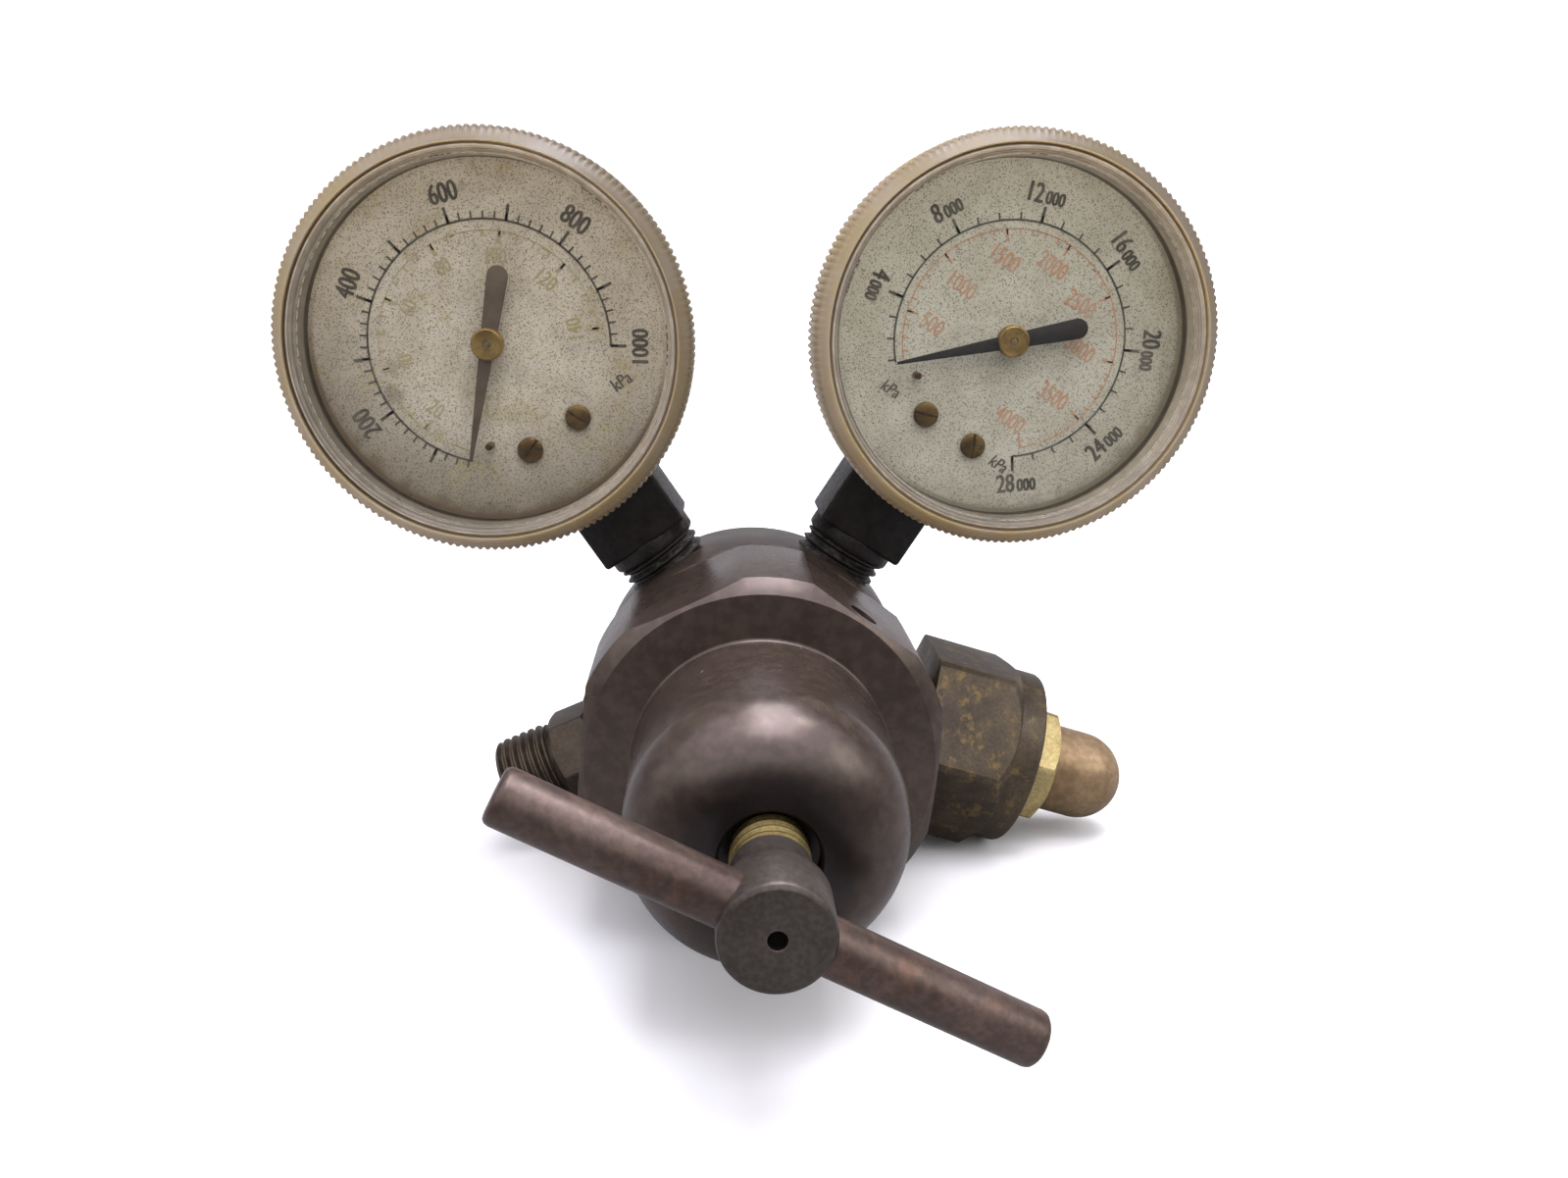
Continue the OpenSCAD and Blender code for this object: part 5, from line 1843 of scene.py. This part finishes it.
    def pointer(self) -> list[Piece]:
        """Returns the pointer's hand and its brass hub."""
        tail, tip, low = self.tail_w / 2.0, self.tip_w / 2.0, self.pointer_z
        round_tail = arc(tail - self.tail_len, 0.0, tail, 90.0, 270.0, 12)
        side = self.waist / 2.0
        outline = [(self.tip_len, -tip), (self.tip_len, tip), (0.0, side), *round_tail, (0.0, -side)]
        hand = plate_from(self.named("pointer_hand"), outline, low, low + self.pointer_t)
        soften(hand, 0.08, segments=2, angle=40.0)
        r, top = self.hub_r, low + 1.3
        hub = turned(self.named("pointer_hub"), [
            (0.0, low - 0.4), (r - 0.1, low - 0.4), (r, low - 0.3), (r, top - 0.35), (r - 0.12, top - 0.08),
            (r - 0.3, top), (r - 0.55, top - 0.05), (0.62, top - 0.05), (0.58, top - 0.3), (0.44, top - 0.3),
            (0.4, top - 0.05), (0.0, top - 0.05),
        ], steps=48)
        body, node = self.named("pointer"), (self.named("pointer"),)
        paint = self.named("pointer_paint")
        pieces = [Piece(hand, body, "pointer_dark", node, finish=paint), Piece(hub, body, "aged_brass", node)]
        for piece in pieces:
            place(piece.obj, self.frame @ self.direction(self.face.zero))
        return pieces

    def finishes(self) -> list[Finish]:
        """Returns the finishes that follow this gauge's own frame."""
        left = self.face.side is Side.LEFT
        paint = (0.46, 0.41, 0.33) if left else (0.48, 0.465, 0.39)
        return [
            DialPaint(
                self.named("dial_paint"), self.frame,
                base=(0.61, 0.55, 0.46) if left else (0.57, 0.555, 0.47),
                light=(0.74, 0.68, 0.59) if left else (0.67, 0.66, 0.58),
                grime=(0.13, 0.09, 0.055) if left else (0.17, 0.155, 0.11),
                stain=(0.46, 0.38, 0.17) if left else (0.50, 0.49, 0.38),
                speck_share=0.7 if left else 0.6,
                grain=0.65,
                # Painted shade: strong on the left dial, weak on the right one.
                shade=(0.25, 0.22, 0.18),
                grime_amount=0.9 if left else 0.7,
                stain_amount=0.5 if left else 0.15,
                shade_amount=0.85 if left else 0.3,
                grime_side=(-0.7, -0.7) if left else (0.97, -0.2),
                blots=LEFT_BLOTS if left else RIGHT_BLOTS,
            ),
            Ink(self.named("ink_black"), (0.028, 0.026, 0.024), paint, fade=0.22),
            Ink(self.named("ink_salmon"), (0.62, 0.27, 0.14), paint, fade=0.45),
            Ink(self.named("ink_yellow"), (0.44, 0.37, 0.12), paint, fade=0.75),
            RingPlastic(
                self.named("ring_plastic"), self.frame, base=(0.33, 0.27, 0.19), amber=(0.31, 0.245, 0.14),
                clear=(0.30, 0.265, 0.215), grime=(0.10, 0.068, 0.045), bright=(0.56, 0.51, 0.43),
            ),
            LensPlastic(self.named("lens_plastic"), (0.97, 0.965, 0.93), (0.55, 0.52, 0.42)),
        ]

    def build(self, palette: Palette) -> list[Piece]:
        """Makes this gauge's finishes and returns its pieces.

        Args:
            palette: The finishes, to which the gauge's own are added.

        Returns:
            The pieces, from the back to the front.
        """
        for finish in self.finishes():
            palette.add(finish)
        pieces = [self.socket(), self.case(), self.dial(), *self.printing(), *self.fixings()]
        return pieces + self.pointer() + [self.ring(), self.lens()]


def delivery_face() -> Face:
    """Returns the left dial: kilopascals to 1000, and a faded inner scale."""
    kilopascals = Scale(
        Tint.BLACK, 16.8, 0.3, 44.6, 260.3,
        (Marks(48, 46.7, 258.2, 1.05, 0.26), Marks(9, 62.8, 242.1, 2.2, 0.42)),
    )
    inner = Scale(
        Tint.YELLOW, 15.3, 0.12, 48.0, 251.0,
        (Marks(26, 54.9, 241.0, -0.9, 0.3), Marks(6, 72.4, 223.5, -1.7, 0.5)),
    )
    figures = [
        Figure("200", 91.8, 20.9), Figure("400", 147.0, 20.6), Figure("600", 199.0, 20.9),
        Figure("800", 250.6, 20.9),
        Figure("1000", 304.8, 20.9, height=2.4, narrow=0.78),
        Figure("kPa", 319.8, 18.9, height=1.9, narrow=0.8, weight=0.05, upright=True),
    ]
    start, sweep, step, full = 38.8, 264.0, 20, 145.0
    for k in range(1, 8):
        angle = start + sweep * step * k / full
        figures.append(Figure(str(step * k), angle, 12.0, height=2.2, tint=Tint.YELLOW, weight=0.04))
    return Face(Side.LEFT, 44.8, (kilopascals, inner), tuple(figures))


def cylinder_face() -> Face:
    """Returns the right dial: kilopascals to 28000 in black and a salmon inner scale to 4000."""
    kilopascals = Scale(
        Tint.BLACK, 16.6, 0.28, 46.2, 277.0,
        (Marks(27, 47.5, 275.7, 1.05, 0.26), Marks(6, 78.1, 245.1, 2.2, 0.42)),
    )
    inner = Scale(
        Tint.SALMON, 15.4, 0.16, 46.8, 272.1,
        (Marks(38, 51.4, 267.5, -0.8, 0.2), Marks(7, 72.5, 246.4, -1.7, 0.32)),
    )
    angles = (78.6, 118.7, 159.3, 199.7, 240.8, 282.0, 321.8)
    figures = [
        Figure(str(4 * (k + 1)), angle, 20.5, tail="000", narrow=0.7) for k, angle in enumerate(angles)
    ]
    spots = (
        (68.5, 11.4), (104.2, 10.4), (141.5, 11.4), (175.4, 11.9), (209.5, 11.2), (243.3, 10.3),
        (286.4, 10.3), (324.2, 11.2),
    )
    figures += [
        Figure(
            str(500 * (k + 1)), angle, radius, height=2.5, tint=Tint.SALMON, upright=True, narrow=0.66,
            weight=0.03,
        )
        for k, (angle, radius) in enumerate(spots)
    ]
    figures += [
        Figure("kPa", 35.0, 18.2, height=1.8, narrow=0.8, weight=0.04, upright=True, slant=0.2),
        Figure("kPa", 329.6, 17.7, height=1.8, narrow=0.8, weight=0.04, upright=True, slant=0.2),
    ]
    return Face(Side.RIGHT, 46.2, (kilopascals, inner), tuple(figures))


# ---------------------------------------------------------------- inside


class Works:
    """The hidden solids that keep their shape and get a finish of their own."""

    finishes = {
        "slip_ring": "bright_brass", "diaphragm": "rubber", "diaphragm_plate": "bright_brass",
        "diaphragm_pusher": "bright_brass", "adjusting_spring": "spring_steel",
        "spring_button": "bright_brass", "nozzle": "bright_brass", "valve_stem": "spring_steel",
        "valve_seat": "nylon", "seat_spring": "spring_steel", "inlet_filter": "filter_bronze",
    }
    gauge_finishes = {
        "pointer_shaft": "spring_steel", "movement_frame": "bright_brass", "sector": "bright_brass",
        "link": "spring_steel", "tube_tip": "bright_brass", "bourdon_tube": "bright_brass",
    }

    def dress(self, nodes: dict[str, bpy.types.Object], palette: Palette) -> None:
        """Gives each hidden solid its finish.

        Args:
            nodes: The frame's nodes by name.
            palette: The finishes.
        """
        wanted = dict(self.finishes)
        for side in Side:
            wanted.update({f"{side.label}_{node}": finish for node, finish in self.gauge_finishes.items()})
        for node, finish in wanted.items():
            for slot in nodes[node].material_slots:
                slot.material = palette.get(finish)
            LOG.info("%s: dressed in %s", node, finish)


# ---------------------------------------------------------------- studio


@dataclass
class Studio:
    """Floor with a raised back, soft lamps, a pale world and the camera."""

    camera_at: Place = (-0.005522, -0.167409, 0.092314)
    lens: float = 29.756
    yaw: float = 0.05306
    pitch: float = 13.815
    roll: float = 0.161
    sensor: float = 36.0
    near_clip: float = 0.005
    floor_size: float = 3.0
    floor_y: float = -1.28
    backdrop: Place = (0.0, 0.12, 1.2)
    fold: float = 0.14
    aim: Place = (0.0, 0.0, 0.05)

    def camera(self) -> None:
        """Adds the camera."""
        p, r = math.radians(self.pitch), math.radians(self.roll)
        ahead = Vector((math.sin(self.yaw) * math.cos(p), math.cos(self.yaw) * math.cos(p), -math.sin(p)))
        level = Vector((math.cos(self.yaw), -math.sin(self.yaw), 0.0))
        down = ahead.cross(level)
        right = math.cos(r) * level + math.sin(r) * down
        below = -math.sin(r) * level + math.cos(r) * down
        data = bpy.data.cameras.new("camera")
        data.lens = self.lens
        data.sensor_width = self.sensor
        data.sensor_fit = "HORIZONTAL"
        data.clip_start = self.near_clip
        camera = bpy.data.objects.new("camera", data)
        axes = Matrix((right, -below, -ahead)).transposed()
        camera.matrix_world = Matrix.Translation(self.camera_at) @ axes.to_4x4()
        bpy.context.scene.collection.objects.link(camera)
        bpy.context.scene.camera = camera

    def floor(self) -> None:
        """Adds the floor, its back edge extruded up as a backdrop, with painted shade for all rays but the
        camera's.
        """
        settle()
        bpy.ops.mesh.primitive_plane_add(size=self.floor_size, location=(0.0, self.floor_y, 0.0))
        obj = bpy.context.object
        obj.name = obj.data.name = "floor"
        bpy.ops.object.transform_apply(location=True)
        for edge in obj.data.edges:
            ys = [obj.data.vertices[i].co.y for i in edge.vertices]
            edge.select = min(ys) > 0.2
        for vertex in obj.data.vertices:
            vertex.select = vertex.co.y > 0.2
        obj.data.polygons.foreach_set("select", [False] * len(obj.data.polygons))
        pick(obj)
        bpy.ops.object.mode_set(mode="EDIT")
        bpy.ops.mesh.select_mode(type="EDGE")
        bpy.ops.mesh.extrude_region_move(TRANSFORM_OT_translate={"value": self.backdrop})
        shut()
        soften(obj, self.fold, segments=12)
        smooth(obj, 60.0)
        sheet = MaterialSheet("floor_paper")
        cloud = sheet.spread(sheet.noise(sheet.coordinates, 14.0, 3.0), 0.3, 0.7)
        paper = sheet.mix(cloud, (0.93, 0.935, 0.93), (0.96, 0.96, 0.955))
        # Painted shade: rays other than the camera's find the floor dark grey, darkest in front of the
        # object, standing in for the shade there; the camera sees it pale.
        near = sheet.spread(sheet.split(sheet.coordinates)["Y"], -0.04, -0.20)
        painted_dark_bounce = sheet.mix(near, (0.30, 0.30, 0.30), (0.05, 0.05, 0.05))
        seen = sheet.add("LightPath").outputs["Is Camera Ray"]
        sheet.dress(Base_Color=sheet.mix(seen, painted_dark_bounce, paper), Roughness=0.7, Specular_IOR_Level=0.2)
        obj.data.materials.append(sheet.material)

    def lamp(self, name: str, at: Place, size: tuple[float, float], power: float, tint: Colour) -> None:
        """Adds a soft area lamp that faces the object.

        Args:
            name: Name of the lamp.
            at: Its place in metres.
            size: Its width and height in metres.
            power: Its power in watts.
            tint: Its colour.
        """
        data = bpy.data.lights.new(name, "AREA")
        data.shape = "RECTANGLE"
        data.size, data.size_y = size
        data.energy = power
        data.color = tint
        lamp = bpy.data.objects.new(name, data)
        aim = Vector(self.aim) - Vector(at)
        lamp.matrix_world = Matrix.Translation(at) @ aim.to_track_quat("-Z", "Y").to_matrix().to_4x4()
        bpy.context.scene.collection.objects.link(lamp)

    def world(self) -> None:
        """Sets a pale world: bright above and behind, dimmer on the camera's side, white where it is seen."""
        world = bpy.data.worlds.new("pale_room")
        bpy.context.scene.world = world
        world.use_nodes = True
        sheet = Sheet(world.node_tree)
        world.node_tree.nodes.clear()
        way = sheet.split(sheet.add("TexCoord").outputs["Generated"])
        ahead = sheet.spread(way["Z"], 0.15, 0.5, 0.10, 1.7)
        back = sheet.spread(way["Y"], -0.6, 0.4, ahead, 1.0)
        top = sheet.spread(way["Z"], 0.45, 0.9, 0.0, 2.2)
        level = sheet.maths("MAXIMUM", back, top)
        tone = sheet.mix(top, (0.98, 0.97, 0.96), (0.91, 0.89, 1.0))
        soft = sheet.add("Background", {"Color": tone, "Strength": level})
        white = sheet.add("Background", {"Color": (1.0, 1.0, 1.0), "Strength": 1.0})
        seen = sheet.add("LightPath").outputs["Is Camera Ray"]
        mixer = sheet.add("MixShader", {0: seen, 1: soft.outputs[0], 2: white.outputs[0]})
        sheet.add("OutputWorld", {"Surface": mixer.outputs[0]})

    def build(self) -> None:
        """Adds everything that isn't the object."""
        self.camera()
        self.floor()
        self.world()
        self.lamp("overhead", (0.06, 0.0, 0.62), (0.62, 0.27), 4.15, (0.93, 0.91, 1.0))
        self.lamp("ceiling_spot", (0.27, 0.0, 0.64), (0.06, 0.06), 0.42, (1.0, 0.98, 0.94))
        self.lamp("side_right", (0.55, -0.25, 0.4), (0.35, 0.35), 0.6, (1.0, 0.97, 0.93))
        bpy.context.scene.view_settings.view_transform = "Standard"


def main() -> None:
    """Builds the sub-assemblies in order and reports each piece."""
    logging.basicConfig(level=logging.INFO, format="%(message)s")
    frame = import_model()
    palette = Palette(Effects())
    Studio().build()
    pieces = MainHousing().build() + AdjustingScrew().build() + Inlet().build() + Outlet().build()
    for face in (delivery_face(), cylinder_face()):
        pieces += Gauge(face).build(palette)
    for piece in pieces:
        piece.enter(palette)
    Works().dress(frame["nodes"], palette)
    LOG.info("%d pieces", len(pieces))


if __name__ == "__main__":
    main()
